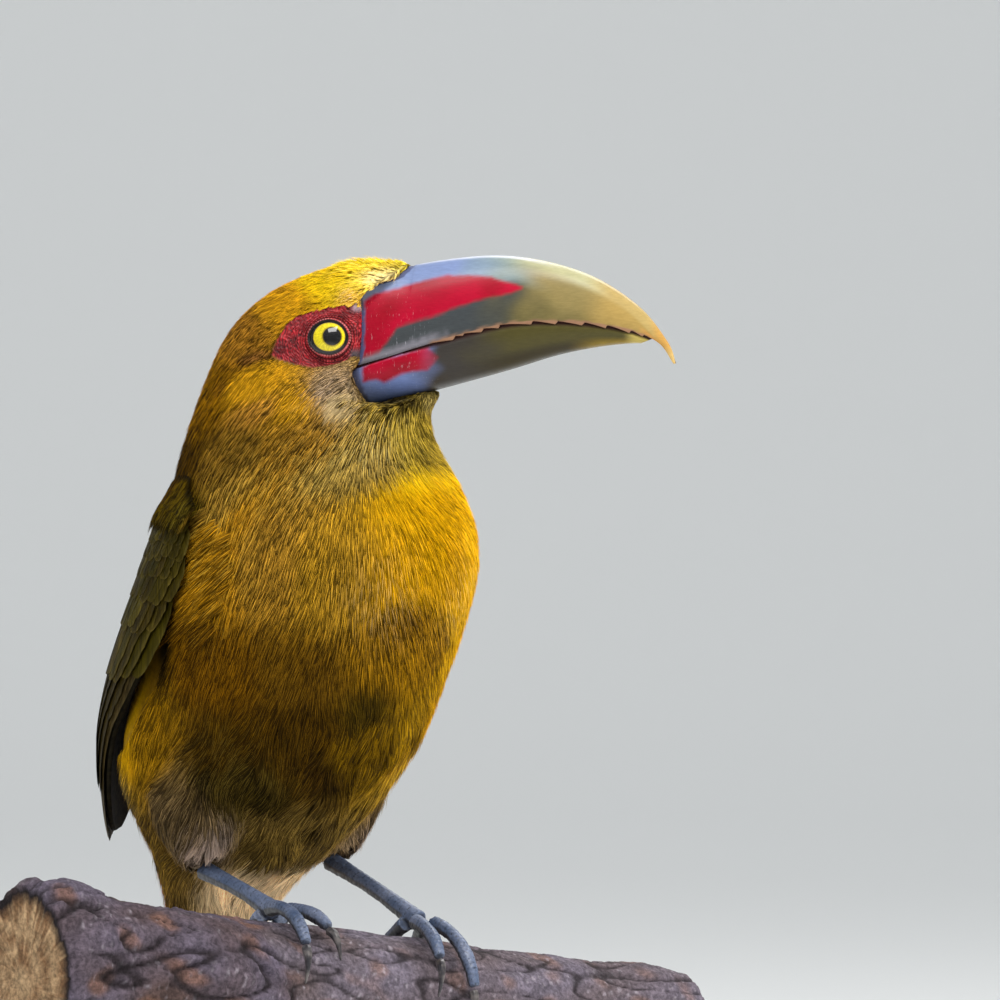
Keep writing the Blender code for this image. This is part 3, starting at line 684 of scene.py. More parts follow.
def skin_material():
    made = Material("skin", Roughness=0.5, Specular_IOR_Level=0.3)
    mottled = made.times(made.tint(), made.ramp(made.noise(900.0, 4.0, 0.6), (0.3, 0.7), (0.75, 1.2)))
    made.set("Base Color", mottled)
    made.set("Normal", made.bump(made.noise(2600.0, 3.0), 0.12 * MM, 0.5))
    return made.made


# ---------------------------------------------------------------- skin

FLESH = ("trunk", "neck", "head", "thigh_left", "thigh_right")
SKIN_VOXEL = 1.25 * MM
# How deep the skin lies under the outline of the coat, by height, in mm, and on the bare skin.
DEPTH_HEIGHTS, DEPTHS = (10, 60, 100, 125, 140), (2.4, 2.3, 2.2, 1.9, 1.35)
BARE_DEPTH = 0.12 * MM
COATED_FROM = 2.2  # mm from the bare skin, where the skin lies at its full depth again
HEAD_FROM = 125  # mm up: bill and bare skin lie above this height

# The line on the side of the bill where the feathers end, as (up, forward) in mm from the top. The
# first FEATHER_TOP of its points make the slope of the forehead.
BILL_EDGE = np.array(
    ((161.6, 24.7), (158.8, 22.4), (157.7, 19.6), (156.9, 16.4), (155.3, 13.5), (153.7, 12.4))
    + ((151.4, 13.0), (139.8, 13.1), (137.0, 12.0), (135.6, 11.4), (130.5, 13.0), (127.2, 14.8))
)
FEATHER_TOP = 6
ROOT_DIVE = 2.6 * MM  # how far the skin dives under the bill's root
CHIN = ((14.5, 25.2, 40.0), (127.2, 129.9, 133.4))  # forward and up of the lower bill's bottom edge


def bill_edge_forward(up):
    return np.interp(up, BILL_EDGE[::-1, 0], BILL_EDGE[::-1, 1])


def past_feathers(profile):
    """How far in mm a place lies past the line where the feathers end, negative before it."""
    forward, _, up = profile.T
    past = forward - bill_edge_forward(up)
    below = np.interp(forward, *CHIN) + 0.4 - up
    return np.where(up > HEAD_FROM, np.minimum(past, -below), -9.0)


def coat_depth(points, profile):
    """How far the skin lies under the outline of the coat. It thins towards the bill, and dives
    under the bill's root."""
    up = profile[:, 2]
    depth = np.interp(up, DEPTH_HEIGHTS, DEPTHS) * MM
    depth *= 0.3 + 0.7 * smoothstep(0, 6 * MM, bill_distance(points))
    from_bare = bare_distance(profile)
    bare = BARE_DEPTH + (depth - BARE_DEPTH) * smoothstep(-0.4, COATED_FROM, from_bare)
    depth = np.where((up > HEAD_FROM) & (from_bare < COATED_FROM), bare, depth)
    return depth + ROOT_DIVE * smoothstep(0.0, 1.4, past_feathers(profile))


# Swellings of the plumage: centre and reach as forward, side and up in mm, and height in mm.
SWELLINGS = (
    ((-32, 30, 38), (13, 12, 18), 5.2),  # flank behind the thigh
    ((-33, 24, 14), (9, 11, 13), 3.2),  # side of the vent
    ((-32, 20, 106), (11, 14, 12), 0.9),  # mantle over the shoulder
)
# The line of the groove behind the eye: forward and up, in mm.
GROOVE_FORWARD = (-20.0, -15.0, -11.0, -7.0, 0.0)
GROOVE_UP = (132.0, 137.0, 139.6, 139.8, 137.0)


def body_relief(profile):
    """How far the loose plumage of flank and mantle stands out of the plain outline, in mm."""
    places, total = folded(profile), np.zeros(len(profile))
    for centre, reach, height in SWELLINGS:
        total += height * np.exp(-squared_reach(places, centre, reach))
    return total


def head_relief(profile):
    """How far the head's feathers stand out of the plain outline, in mm: a groove runs from
    the eye's back corner down to the neck, and the ear coverts swell below it."""
    forward, side, up = profile.T
    groove_up = np.interp(forward, GROOVE_FORWARD, GROOVE_UP)
    below = groove_up - up
    reach = smoothstep(-22, -15, forward) * smoothstep(1.5, -7.5, forward) * (np.abs(side) > 6)
    groove = -0.75 * np.exp(-((below / 1.7) ** 2))
    swell = 0.7 * smoothstep(0.5, 2.5, below) * smoothstep(11.0, 5.0, below)
    return (groove + swell) * reach


# Ellipsoids inside the bill's root, so that the skin closes behind it: centre and radii in mm, as
# forward, side and up.
BILL_PLUGS = (
    ((15.5, 0, 145.2), (10.5, 10.4, 15.0)),
    ((18.5, 0, 133.6), (8.0, 7.4, 2.6)),
    ((20.5, 0, 129.4), (7.0, 7.6, 3.0)),
    ((26.0, 0, 130.2), (6.0, 6.4, 2.6)),
)


def make_skin():
    plugs = [ellipsoid(head_point(*centre), *radii) for centre, radii in BILL_PLUGS]
    soup = joined([node_soup(FLESH + ("eye_left", "eye_right")), *plugs])
    skin = remeshed("skin", soup, SKIN_VOXEL, smoothing=6)
    mesh = skin.data
    points = points_of(mesh)
    profile, _ = to_profile(points)
    sink = coat_depth(points, profile) - (head_relief(profile) + body_relief(profile)) * MM
    move_points(mesh, points - normals_of(mesh) * sink[:, None])
    refine_round_eyes(mesh)
    shape_lids(mesh)
    set_colours(mesh, "tint", skin_colour(points_of(mesh)))
    mesh.materials.append(skin_material())
    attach(skin, "root")
    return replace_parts(skin, *FLESH)


# Round each eye the skin is split three times, each time within a smaller reach, in mm.
REFINED_REACHES = (17.0, 15.5, 14.5)
BILL_FROM = 13.5  # mm forward: the skin is hidden in the bill's root from here


def refine_round_eyes(mesh):
    """Splits the faces round each eye until they are about 0.15 mm wide."""
    bm = bmesh.new()
    bm.from_mesh(mesh)
    for reach in REFINED_REACHES:
        places = np.array([vert.co for vert in bm.verts])
        near = np.zeros(len(places), bool)
        for eye in EYES.values():
            # an oval that reaches farther back than ahead
            away = (places - np.array(eye)) / MM
            ahead = away @ np.array(HEAD_AHEAD)
            shape = np.sqrt((ahead + 1.5) ** 2 + (1.25 * away[:, 2]) ** 2)
            near |= (shape < reach) & (np.linalg.norm(away, axis=1) < 20)
        near &= to_profile(places)[0][:, 0] < BILL_FROM
        edges = [edge for edge in bm.edges if all(near[vert.index] for vert in edge.verts)]
        bmesh.ops.subdivide_edges(bm, edges=edges, cuts=1, use_grid_fill=True, smooth=0.25)
        bmesh.ops.triangulate(bm, faces=[face for face in bm.faces if len(face.verts) > 4])
        bm.verts.index_update()
        bm.edges.index_update()
    bm.to_mesh(mesh)
    bm.free()
    mesh.shade_smooth()


# ---------------------------------------------------------------- lids and bare skin

SIGHT_UP = 0.21  # how far the eyes look up
EYE_OPENING = 42.8  # degrees from the line of sight to the rim of the lids
OPENING_BACK = 1.9  # degrees that the opening reaches farther back than ahead
UPPER_LID, LOWER_LID = 8.3, 8.0  # degrees that each lid covers in its middle
LID_HEIGHT = 0.42 * MM
BARE_REACH, RIM_REACH = 19 * MM, 9 * MM  # bare skin and lids' rims end this far from the eye's middle
FOLD_PITCH = 0.80  # mm from one ring of wrinkles to the next
BEAD_PITCH = 0.72  # mm from bead to bead along a ring
LID_THICKEST = math.radians(-40)  # the dark rim is widest on the far side of the eye from here
LID_DARK = srgb(20, 14, 14)
LID_PINK = srgb(214, 128, 124)
BARE_RED = srgb(174, 24, 34)
# pink beads and painted highlights on the wrinkles' ridges, and painted shade in their grooves
BARE_PINK_AND_HIGHLIGHT = srgb(218, 104, 106)
BARE_GROOVE_SHADE = srgb(62, 4, 10)
LORES_PALE = srgb(158, 138, 146)
GAPE_DARK = srgb(74, 62, 66)
UNDER_COAT_SHADE = 0.55  # the skin under the coat, as a share of the coat's brightness: painted shade under the tufts


def eye_axes(sign):
    """Rows of an eye's line of sight, the direction ahead and the direction up, square to each
    other. The eye looks a little up."""
    sight = unit(np.array(HEAD_LEFT * sign + UP * SIGHT_UP))
    ahead = unit(np.array(HEAD_AHEAD) - sight * (sight @ np.array(HEAD_AHEAD)))
    return np.array([sight, ahead, np.cross(sight, ahead) * sign])


def eye_places(points):
    """Per eye: rows along its axes, distance from its centre, degrees from its line of sight, and
    the vectors from its centre."""
    for name, sign in SIDES:
        away = points - np.array(EYES[name])
        seen = away @ eye_axes(sign).T
        distance = np.maximum(np.linalg.norm(away, axis=1), 1e-9)
        yield seen, distance, np.degrees(np.arccos(np.clip(seen[:, 0] / distance, -1, 1))), away


def lid_opening(seen, distance):
    """Degrees from the line of sight to the lids' rim, in each direction round the eye."""
    upward = seen[:, 2] / distance / math.sin(math.radians(EYE_OPENING))
    ahead = seen[:, 1] / distance / math.sin(math.radians(EYE_OPENING))
    upper, lower = np.clip(upward, 0, 1), np.clip(-upward, 0, 1)
    back = OPENING_BACK * np.clip(-ahead, -1, 1)
    return EYE_OPENING + back - UPPER_LID * upper**1.5 - LOWER_LID * lower**1.5


def round_sight(seen):
    """Distance from the line of sight in mm, and the turn about it."""
    return np.hypot(seen[:, 1], seen[:, 2]) / MM, np.arctan2(seen[:, 2], seen[:, 1])


def skin_folds(points, seen):
    """Wavy, broken wrinkles round the eye, from -1 in a groove to 1 on a ridge."""
    ring, turn = round_sight(seen)
    wander = smoothstep(5.0, 7.5, ring)
    ring = ring + wander * (0.34 * waves(points, 2.6 * MM, 21) + 0.15 * waves(points, 1.0 * MM, 24))
    level = ring / FOLD_PITCH + 0.75 * np.maximum(ring - 6.0, 0)
    row = np.round(level)
    fold = np.cos(2 * math.pi * (level - row))
    beads = np.cos(turn * np.round(2 * math.pi * row * FOLD_PITCH / BEAD_PITCH) + 1.9 * row)
    breaks = beads + wander * (1.2 * waves(points, 0.5 * MM, 25) - beads)
    return np.clip(0.66 * fold + 0.5 * breaks * (fold > -0.3), -1, 1)


def shape_lids(mesh):
    """Draws the skin over the eyeballs as a thin rim, with rings of beads round it."""
    points = points_of(mesh)
    normals = normals_of(mesh)
    for seen, distance, angle, away in eye_places(points):
        near = (distance < BARE_REACH) & (angle < 89)
        beyond = angle - lid_opening(seen, distance)
        rim = np.exp(-(((beyond - 5.0) / 4.2) ** 2))
        under = smoothstep(1.5, -2.5, beyond)
        radius = EYE_RADIUS + LID_HEIGHT * rim - 0.9 * MM * under + 0.06 * MM
        target = away / distance[:, None] * radius[:, None]
        hold = smoothstep(80, 58, angle) * near
        points += (target - away) * hold[:, None]
        profile, _ = to_profile(points)
        inside = smoothstep(1.0, -1.0, bare_distance(profile))
        grain = waves(points, 0.42 * MM, 22)
        outside_rim = smoothstep(2.0, 4.5, beyond)
        relief = (0.20 * skin_folds(points, seen) + 0.03 * grain) * MM * inside * outside_rim * near
        points += normals * relief[:, None]
    move_points(mesh, points)


def skin_colour(points):
    """Plumage colour under the coat, darker as painted shade, and red bare skin round the eyes, with
    painted shade in its grooves and pink beads and painted highlights on its ridges.
    """
    profile, _ = to_profile(points)
    forward, _, up = profile.T
    red = BARE_RED
    for seen, distance, _, _ in eye_places(points):
        # painted shade in the grooves of the wrinkles, and pink on their ridges: beads by the eye,
        # painted highlight farther out
        fold = skin_folds(points, seen) * (distance < BARE_REACH)
        red = toward_colour(red, BARE_GROOVE_SHADE, np.clip(0.15 - fold, 0, 1) * 1.25)
        pink = 0.55 + 0.75 * smoothstep(8.5, 5.5, round_sight(seen)[0])
        red = toward_colour(red, BARE_PINK_AND_HIGHLIGHT, np.clip(fold - 0.45, 0, 1) * pink)
    red = painted(
        red * (1.0 + 0.3 * waves(points, 1.8 * MM, 23))[:, None],
        (LORES_PALE, smoothstep(10.0, 12.0, forward) * smoothstep(149.5, 151.5, up)),
        (GAPE_DARK, smoothstep(9.8, 11.2, forward) * smoothstep(142.0, 140.0, up)),
    )
    bare = smoothstep(0.7, -0.2, bare_distance(profile))
    # the skin under the coat is the plumage colour darkened as painted shade
    colour = toward_colour(plumage_colour(profile) * UNDER_COAT_SHADE, red, bare)
    for seen, distance, angle, _ in eye_places(points):
        beyond = angle - lid_opening(seen, distance)
        near = distance < RIM_REACH
        _, turn = round_sight(seen)
        bead = 0.5 + 0.5 * np.cos(turn * 46)
        ring = smoothstep(3.4, 5.0, beyond) * smoothstep(11.0, 8.5, beyond) * near
        rim = smoothstep(4.2, 2.6, beyond + 1.2 * np.cos(turn - LID_THICKEST))
        colour = painted(colour, (LID_PINK, ring * bead), (LID_DARK, rim * near))
    return colour


# ---------------------------------------------------------------- coat

# Along the body by height in mm: length, half width and spacing of the tufts in mm.
COAT_HEIGHTS = (-10, 15, 40, 70, 100, 118, 130, 140, 152, 162)
COAT_LENGTHS = (13.0, 11.0, 10.0, 9.2, 8.6, 8.0, 6.6, 5.6, 4.8, 4.4)
COAT_WIDTHS = (1.2, 1.0, 0.92, 0.86, 0.8, 0.74, 0.62, 0.55, 0.52, 0.5)
COAT_SPACINGS = (1.4, 1.28, 1.14, 1.02, 0.94, 0.84, 0.73, 0.67, 0.63, 0.61)
CANDIDATES = 520000  # random places, of which those stay that are a spacing apart
COVER_REACH = 14 * MM  # the skin is bare where a wing lies this near over it
COAT_GAIN = 1.3  # the barbs are brighter than the plumage looks, for the dark gaps between them
STRANDS = 5
BARBS = 2 * STRANDS
BARB_WIDTH = 0.060 * MM  # half width in the middle
BARB_GAP = 0.105  # from a strand's middle to its barbs, as a share of the tuft's half width
LIT_BARB, SHADOW_BARB = 0.30, -1.05  # tones of a strand's two barbs, as powers of e: one painted lit, the other painted in shadow beside it
# The four corners of a barb: place along it, share of its spread, side, lift, tone, and share of the
# pale end's colour. The tone is darker towards the root, as painted shade deep in the coat.
BARB_CORNERS = np.array(
    (
        (0.0, 0.4, 0.0, 0.05, 0.35, 0.0),
        (0.5, 0.85, -1.0, 0.70, 0.95, 0.6),
        (0.5, 0.85, 1.0, 0.70, 0.95, 0.6),
        (1.0, 1.0, 0.0, 1.0, 1.2, 1.0),
    )
)
LEAF_ROWS = ((0.0, 0.4), (0.55, 1.0), (1.0, 0.0))  # place along, share of width
LEAF_REACH = 0.88  # length of the leaf as a share of the tuft
UV_PATCH = 0.003  # size of a tuft's patch in the map
PIECE_LIMIT = 190000  # triangles of one piece of coat
REGION_NAMES = (
    ("coat_crown", "coat_face_left", "coat_face_right", "coat_neck_left", "coat_neck_right")
    + ("coat_breast_left", "coat_breast_right", "coat_belly_left", "coat_belly_right", "coat_back")
)
REGION_HEIGHTS = (127, 102, 62)  # mm up: face, neck and breast end below at these heights
CROWN_FROM, CROWN_TO = 146, 30  # mm up, and mm forward
BACK_FROM = -28  # mm forward

# Tufts over the shoulder of a folded wing and tufts that lap over its outer edge: how many, and
# between which places along BODY.
SHOULDER_TUFTS, LAPPING_TUFTS = 900, 260
SHOULDER_PLACES, LAPPING_PLACES = (8.15, 9.0), (6.1, 8.5)
# Places along BODY, and the wing's outer edge there in degrees.
WING_EDGE_ANGLES = ((6, 7, 7.9, 8.45), (79, 82, 78, 60))


def face_share(points, profile):
    """1 close to the eye and the bill, 0 away from them."""
    near_eye = smoothstep(7.0, 1.0, bare_distance(profile)) * (np.abs(profile[:, 1]) > BARE_FROM_SIDE)
    return np.maximum(near_eye, smoothstep(8 * MM, 2 * MM, bill_distance(points)))


def thinned(places, spacing):
    """Numbers of places that are at least spacing apart, taken in their given, random order."""
    tree = KDTree(len(places))
    rows = places.tolist()
    for k, place in enumerate(rows):
        tree.insert(place, k)
    tree.balance()
    free = np.ones(len(places), bool)
    kept = []
    for k, place in enumerate(rows):
        if not free[k]:
            continue
        kept.append(k)
        for _, other, _ in tree.find_range(place, spacing[k]):
            free[other] = False
    return np.array(kept)


def unwrapped(points):
    """The skin unrolled round the body's line: places from 0 to 1 for the tufts' patches."""
    profile, _ = to_profile(points)
    forward, side, up = profile.T
    weight = spine_weights(profile, SPINE, 4.0)
    weight /= weight.sum(1, keepdims=True)
    rank = weight @ np.linspace(0, 1, len(SPINE))
    line = weight @ SPINE
    along = weight @ unit(np.gradient(SPINE, axis=0))
    out = (forward - line[:, 0]) * along[:, 1] - (up - line[:, 1]) * along[:, 0]
    angle = np.arctan2(side, out) / (2 * math.pi) + 0.5
    return np.stack([0.01 + 0.97 * angle, 0.01 + 0.97 * rank], 1)


def inside_bill(places, profile):
    """Places on the skin that the bill hides."""
    past = past_feathers(profile)
    hidden = past > 0.7
    for k in np.nonzero((past > -4.0) & ~hidden)[0]:
        spot, normal, _, _ = BILL_TREE.find_nearest(places[k].tolist())
        hidden[k] = (Vector(places[k]) - spot).dot(normal) < -0.6 * MM
    return hidden


def covered_by(cover, places, normals):
    """Which places have the cover over them."""
    rays = zip(places.tolist(), normals.tolist())
    return np.array([cover.ray_cast(start, out, COVER_REACH)[0] is not None for start, out in rays])


def tuft_roots(surface, wings):
    """Places of the tufts on the skin: roots, normals, and their profile coordinates."""
    places, normals = surface.scatter(CANDIDATES)
    profile, _ = to_profile(places)
    keep = (bare_distance(profile) > 0.15) & ~inside_bill(places, profile)
    keep &= ~covered_by(wings, places, normals)
    places, normals, profile = places[keep], normals[keep], profile[keep]
    spacing = np.interp(profile[:, 2], COAT_HEIGHTS, COAT_SPACINGS) * MM
    spacing *= 1 - 0.22 * face_share(places, profile)
    kept = thinned(places, spacing)
    return places[kept], normals[kept], profile[kept]


def in_beard(profile):
    """1 in the long loose feathers below the corner of the bill, 0 away from them."""
    return np.exp(-squared_reach(folded(profile), (19, 14, 121), (9, 9, 7)))


def strand_contrast(profile, colour):
    """How strongly the painted lit and shadowed barbs alternate, and how dark the painted shade of the
    vanes under them is: the bright yellow plumage looks smooth.
    """
    smooth = 0.72 * smoothstep(0.2, 0.45, colour[:, 1])
    return (1 - smooth) * (1 - 0.2 * smoothstep(85, 60, profile[:, 2])) + 0.35 * in_beard(profile)


def tuft_sizes(roots, profile):
    """Length of each tuft, and how high its end stands over the skin."""
    count = len(roots)
    length = np.interp(profile[:, 2], COAT_HEIGHTS, COAT_LENGTHS) * MM
    length *= (1 - 0.42 * face_share(roots, profile)) * RANDOM.uniform(0.82, 1.15, count)
    length *= 1 + 0.8 * in_beard(profile)
    depth = np.maximum(coat_depth(roots, profile), 0.5 * MM) * RANDOM.uniform(0.8, 1.0, count)
    ruffle = smoothstep(157.5, 160.0, profile[:, 2]) * smoothstep(4, 12, profile[:, 0])
    depth += ruffle * RANDOM.uniform(0, 1, count) ** 2 * 1.7 * MM
    depth += loose_plumage(profile[:, 2]) * (0.5 + 0.5 * waves(roots, 4 * MM, 32)) * 0.9 * MM
    return length, depth


def laid_on(surface, roots, normals, length):
    """The middle lines of tufts, laid on the skin: three points of each, with the normals and the
    directions there."""
    laid = [(roots, normals, lie_of_coat(roots, normals))]
    for _ in range(2):
        place, _, lie = laid[-1]
        spot, normal = surface.nearest(place + lie * (length / 2)[:, None])
        laid.append((spot, normal, lie_of_coat(spot, normal)))
    return [np.stack(steps, 1) for steps in zip(*laid)]


def tufts_over_wing(sign):
    """Tufts that cover the shoulder of a folded wing, and some that lap over its outer edge: their
    lines, outward directions, directions, lengths and depths."""
    shoulder = RANDOM.uniform(*SHOULDER_PLACES, SHOULDER_TUFTS)
    place = np.append(shoulder, RANDOM.uniform(*LAPPING_PLACES, LAPPING_TUFTS))
    on_edge = np.arange(len(place)) >= SHOULDER_TUFTS
    edge = np.interp(place, *WING_EDGE_ANGLES) + 1.5 + 20 * RANDOM.uniform(0, 1, len(place)) ** 1.6
    angle = np.where(on_edge, edge, RANDOM.uniform(6, np.interp(place, SHOULDER_PLACES, (82, 62))))
    run = RANDOM.uniform(0.4, 0.7, len(place))
    root_height = np.interp(place, (8.15, 8.5, 9.0), (2.2, 0.7, -0.6))
    points, outward = [], []
    for step in (0.0, 0.5, 1.0):
        at = place - step * run
        turn = angle - step * np.where(on_edge, 7.0, -2.0)
        rise = np.interp(at, (7.4, 8.1, 8.5, 9.0), (4.2, 2.9, 0.8, -0.6))
        height = np.where(on_edge, -2.2 + 2.7 * step, np.where(step == 0, root_height, rise))
        spots, normals = body_frame(at, sign * turn)
        points.append(spots + normals * (height * MM)[:, None])
        outward.append(normals)
    line, outward = np.stack(points, 1), np.stack(outward, 1)
    ahead = np.stack([line[:, 1] - line[:, 0], line[:, 2] - line[:, 0], line[:, 2] - line[:, 1]], 1)
    length = np.linalg.norm(ahead[:, 1], axis=1)
    return line, outward, unit(ahead), length, RANDOM.uniform(0.5, 1.1, len(place)) * MM


def region_of(profile):
    """The number in REGION_NAMES of the piece that each place belongs to."""
    forward, side, up = profile.T
    level = sum((up <= height).astype(int) for height in REGION_HEIGHTS)
    region = 1 + 2 * level + (side < 0)
    region = np.where((up <= REGION_HEIGHTS[1]) & (forward < BACK_FROM), len(REGION_NAMES) - 1, region)
    return np.where((up > CROWN_FROM) & (forward < CROWN_TO), 0, region)


def grow_coat(skin, material):
    surface = Surface(skin.data)
    roots, normals, profile = tuft_roots(surface, node_tree(("wing_left", "wing_right")))
    length, depth = tuft_sizes(roots, profile)
    laid = [(*laid_on(surface, roots, normals, length), length, depth)]
    laid += [tufts_over_wing(sign) for sign in (-1, 1)]
    line, outward, directions, length, depth = (np.concatenate(group) for group in zip(*laid))
    roots = line[:, 0]
    profile, _ = to_profile(roots)
    width = np.interp(profile[:, 2], COAT_HEIGHTS, COAT_WIDTHS) * MM
    width *= 1 - 0.2 * face_share(roots, profile)
    uneven = 0.06 + 0.22 * loose_plumage(profile[:, 2])
    patchy = waves(roots, 5 * MM, 31) + 0.8 * waves(roots, 2.2 * MM, 33)
    shade = RANDOM.uniform(0.93, 1.07, len(roots)) * (1 + uneven * patchy)
    colour = plumage_colour(profile) * shade[:, None] * COAT_GAIN
    tufts = Tufts(
        line=line,
        outward=outward,
        across=np.cross(outward, directions),
        width=width,
        depth=depth,
        colour=colour,
        contrast=strand_contrast(profile, colour),
        unwrap=unwrapped(roots),
        pale=pale_ends(profile),
    )
    parts = [tufts.leaves(), tufts.barbs()]
    regions = region_of(profile)
    for region in np.unique(regions):
        add_coat_piece(REGION_NAMES[region], parts, np.nonzero(regions == region)[0], material)


def paired(strands):
    """A value per strand, given to both of its barbs."""
    return np.repeat(strands, 2, 1)


class Tufts:
    """Feather tufts as arrays: each lies along a line of three points."""

    def __init__(self, line, outward, across, width, depth, colour, contrast, unwrap, pale):
        self.line, self.outward, self.across = line, outward, across
        self.width, self.depth = width, depth
        self.colour, self.contrast, self.unwrap = colour, contrast, unwrap
        self.pale, self.pale_share = pale
        self.count = len(line)

    def curve(self, rows, place):
        """Rows of three vectors, read at places from 0 to 1 (one array per tuft)."""
        place = place[..., None]
        first, second, third = (rows[:, None, k] for k in range(3))
        near = 2 * (place - 0.5) * (place - 1)
        centre = -4 * place * (place - 1)
        far = 2 * place * (place - 0.5)
        return near * first + centre * second + far * third

    def points(self, place, side, lift):
        """Points at places along the tufts and side metres off their middle lines."""
        outward = unit(self.curve(self.outward, place))
        across = unit(self.curve(self.across, place))
        height = self.depth[:, None] * lift
        return self.curve(self.line, place) + across * side[..., None] + outward * height[..., None]

    def leaves(self):
        """A broad vane under the barbs of each tuft, painted dark as the shade between them, as points,
        faces, colours and UVs.
        """
        points, gap_shades, spots = [], [], []
        for place, share in LEAF_ROWS:
            for side in (-1, 0, 1) if share else (0,):
                at = np.full((self.count, 1), place * LEAF_REACH)
                off = (self.width * share * side)[:, None]
                lift = 0.02 + 0.62 * (1 - (1 - place) ** 2) - 0.10 * abs(side)
                points.append(self.points(at, off, lift))
                gap_shades.append(1.0 + 0.5 * place)
                spots.append((side * share, place))
        faces = []
        for row in range(len(LEAF_ROWS) - 2):
            for column in range(2):
                a = row * 3 + column
                faces += [(a, a + 1, a + 4), (a, a + 4, a + 3)]
        tip = len(points) - 1
        faces += [(tip - 3, tip - 2, tip), (tip - 2, tip - 1, tip)]
        # the vane is painted darker than the plumage, most at its root, as the shade in the gaps between
        # the barbs
        under = np.maximum(0.60 - 0.48 * self.contrast, 0.06)[:, None]
        gap_shades = np.array(gap_shades)[None, :, None] * (self.colour * under)[:, None]
        return np.concatenate(points, 1), np.array(faces), gap_shades, self.patches(np.array(spots)[None])

    def barbs(self):
        """Fine barbs in pairs, each a slender diamond bent in its middle."""
        strands, barbs = (self.count, STRANDS), (self.count, BARBS)
        middles = np.linspace(-1, 1, STRANDS)[None] + RANDOM.normal(0, 0.12, strands)
        across = paired(middles) + np.tile((-BARB_GAP, BARB_GAP), STRANDS)
        reach = paired(RANDOM.uniform(0.70, 1.06, strands)) * (1 - 0.26 * across**2)
        reach *= RANDOM.uniform(0.94, 1.0, barbs)
        start = RANDOM.uniform(0.0, 0.16, barbs)
        spread = across * self.width[:, None]
        wide = BARB_WIDTH * RANDOM.uniform(0.7, 1.3, barbs) * (self.width / MM)[:, None] ** 0.4
        roll = RANDOM.normal(0, 0.5, barbs)
        high = RANDOM.uniform(0.62, 1.0, barbs) - 0.14 * across**2
        high -= np.tile((0.0, 0.12), STRANDS)
        drift = paired(RANDOM.normal(0, 0.14, strands)) + RANDOM.normal(0, 0.05, barbs)
        drift *= self.width[:, None]
        columns = []
        for place, out, side, lift in BARB_CORNERS[:, :4]:
            at = start + (reach - start) * place
            off = spread * out + drift * place**2 + wide * side
            height = lift * high + (roll * wide * side) / self.depth[:, None]
            columns.append(self.points(at, off, height))
        corners = BARBS * len(BARB_CORNERS)
        points = np.stack(columns, 2).reshape(self.count, corners, 3)
        one = np.array([(0, 2, 1), (1, 2, 3)])
        faces = (one[None] + len(BARB_CORNERS) * np.arange(BARBS)[:, None, None]).reshape(-1, 3)
        # one barb of each strand is painted lit and the other painted in shadow, as strongly as contrast
        # says
        step = paired(RANDOM.normal(0, 0.26, strands)) + np.tile((LIT_BARB, SHADOW_BARB), STRANDS)
        tone = np.exp(step * self.contrast[:, None])[..., None] * BARB_CORNERS[:, 4]
        colours = tone.reshape(self.count, corners, 1) * self.colour[:, None]
        lot = paired(RANDOM.uniform(0, 1, strands) ** 2) * np.tile((1.0, 0.15), STRANDS)
        lot = lot[..., None] * BARB_CORNERS[:, 5]
        share = lot.reshape(self.count, corners, 1) * self.pale_share[:, None, None]
        colours += (self.pale[:, None] - colours) * share
        run = np.broadcast_to(BARB_CORNERS[:, 0], (*barbs, len(BARB_CORNERS)))
        spots = np.stack([np.repeat(across[..., None], len(BARB_CORNERS), 2), run], -1)
        return points, faces, colours, self.patches(spots.reshape(self.count, corners, 2))

    def patches(self, spots):
        """UV places: each tuft is a small patch at its root's place on the unrolled skin."""
        scaled = np.clip(spots, -1, 1) * (UV_PATCH / 2, UV_PATCH) - (0, UV_PATCH / 2)
        return np.broadcast_to(self.unwrap[:, None] + scaled, (self.count, *scaled.shape[1:]))


def add_coat_piece(name, parts, chosen, material):
    """Joins the chosen tufts' parts into objects that stay under the limit for one piece."""
    each = sum(len(faces) for _, faces, _, _ in parts)
    groups = math.ceil(len(chosen) * each / PIECE_LIMIT)
    for k, group in enumerate(np.array_split(chosen, groups)):
        gathered, count = [], 0
        for part_points, part_faces, part_colours, part_uvs in parts:
            starts = count + part_points.shape[1] * np.arange(len(group))
            numbered = (part_faces[None] + starts[:, None, None]).reshape(-1, 3)
            arrays = (part_points, part_colours, part_uvs)
            gathered.append((numbered, *(array[group].reshape(-1, array.shape[2]) for array in arrays)))
            count += part_points.shape[1] * len(group)
        faces, points, colours, uvs = (np.concatenate(arrays) for arrays in zip(*gathered))
        piece = new_mesh_object(name if groups == 1 else f"{name}_{k + 1}", points, faces, material)
        set_colours(piece.data, "tint", colours)
        set_bake_map(piece.data, uvs)
        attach(piece, "root")


# ---------------------------------------------------------------- bill

# Rows from root to tips: culmen (forward, up), tomium (forward, up), gonys (forward, up) and half
# width, all in mm.
BILL = np.array(
    (
        (9.0, 156.6, 8.0, 134.4, 10.0, 126.4, 12.2),
        (25.0, 161.9, 22.7, 140.5, 25.2, 129.9, 11.4),
        (47.0, 164.2, 46.0, 147.2, 47.0, 135.8, 9.2),
        (66.0, 160.3, 62.0, 148.2, 61.0, 140.0, 7.0),
        (79.5, 152.3, 76.0, 146.6, 73.0, 142.2, 4.4),
        (87.0, 143.3, 84.6, 143.2, 82.0, 142.6, 2.0),
        (89.2, 137.8, 88.7, 137.7, 87.0, 140.5, 0.45),
    )
)
FLANK_POINTS = 40
RIM_THICKNESS = 0.55
PALATE_RISE = 0.7
CLEARANCE = 0.22  # mm between the halves of the bill
ROOT_FLARE = 1.05
ROOT_TUCK = 1.6  # mm of the bill's root that are hidden under the feathers
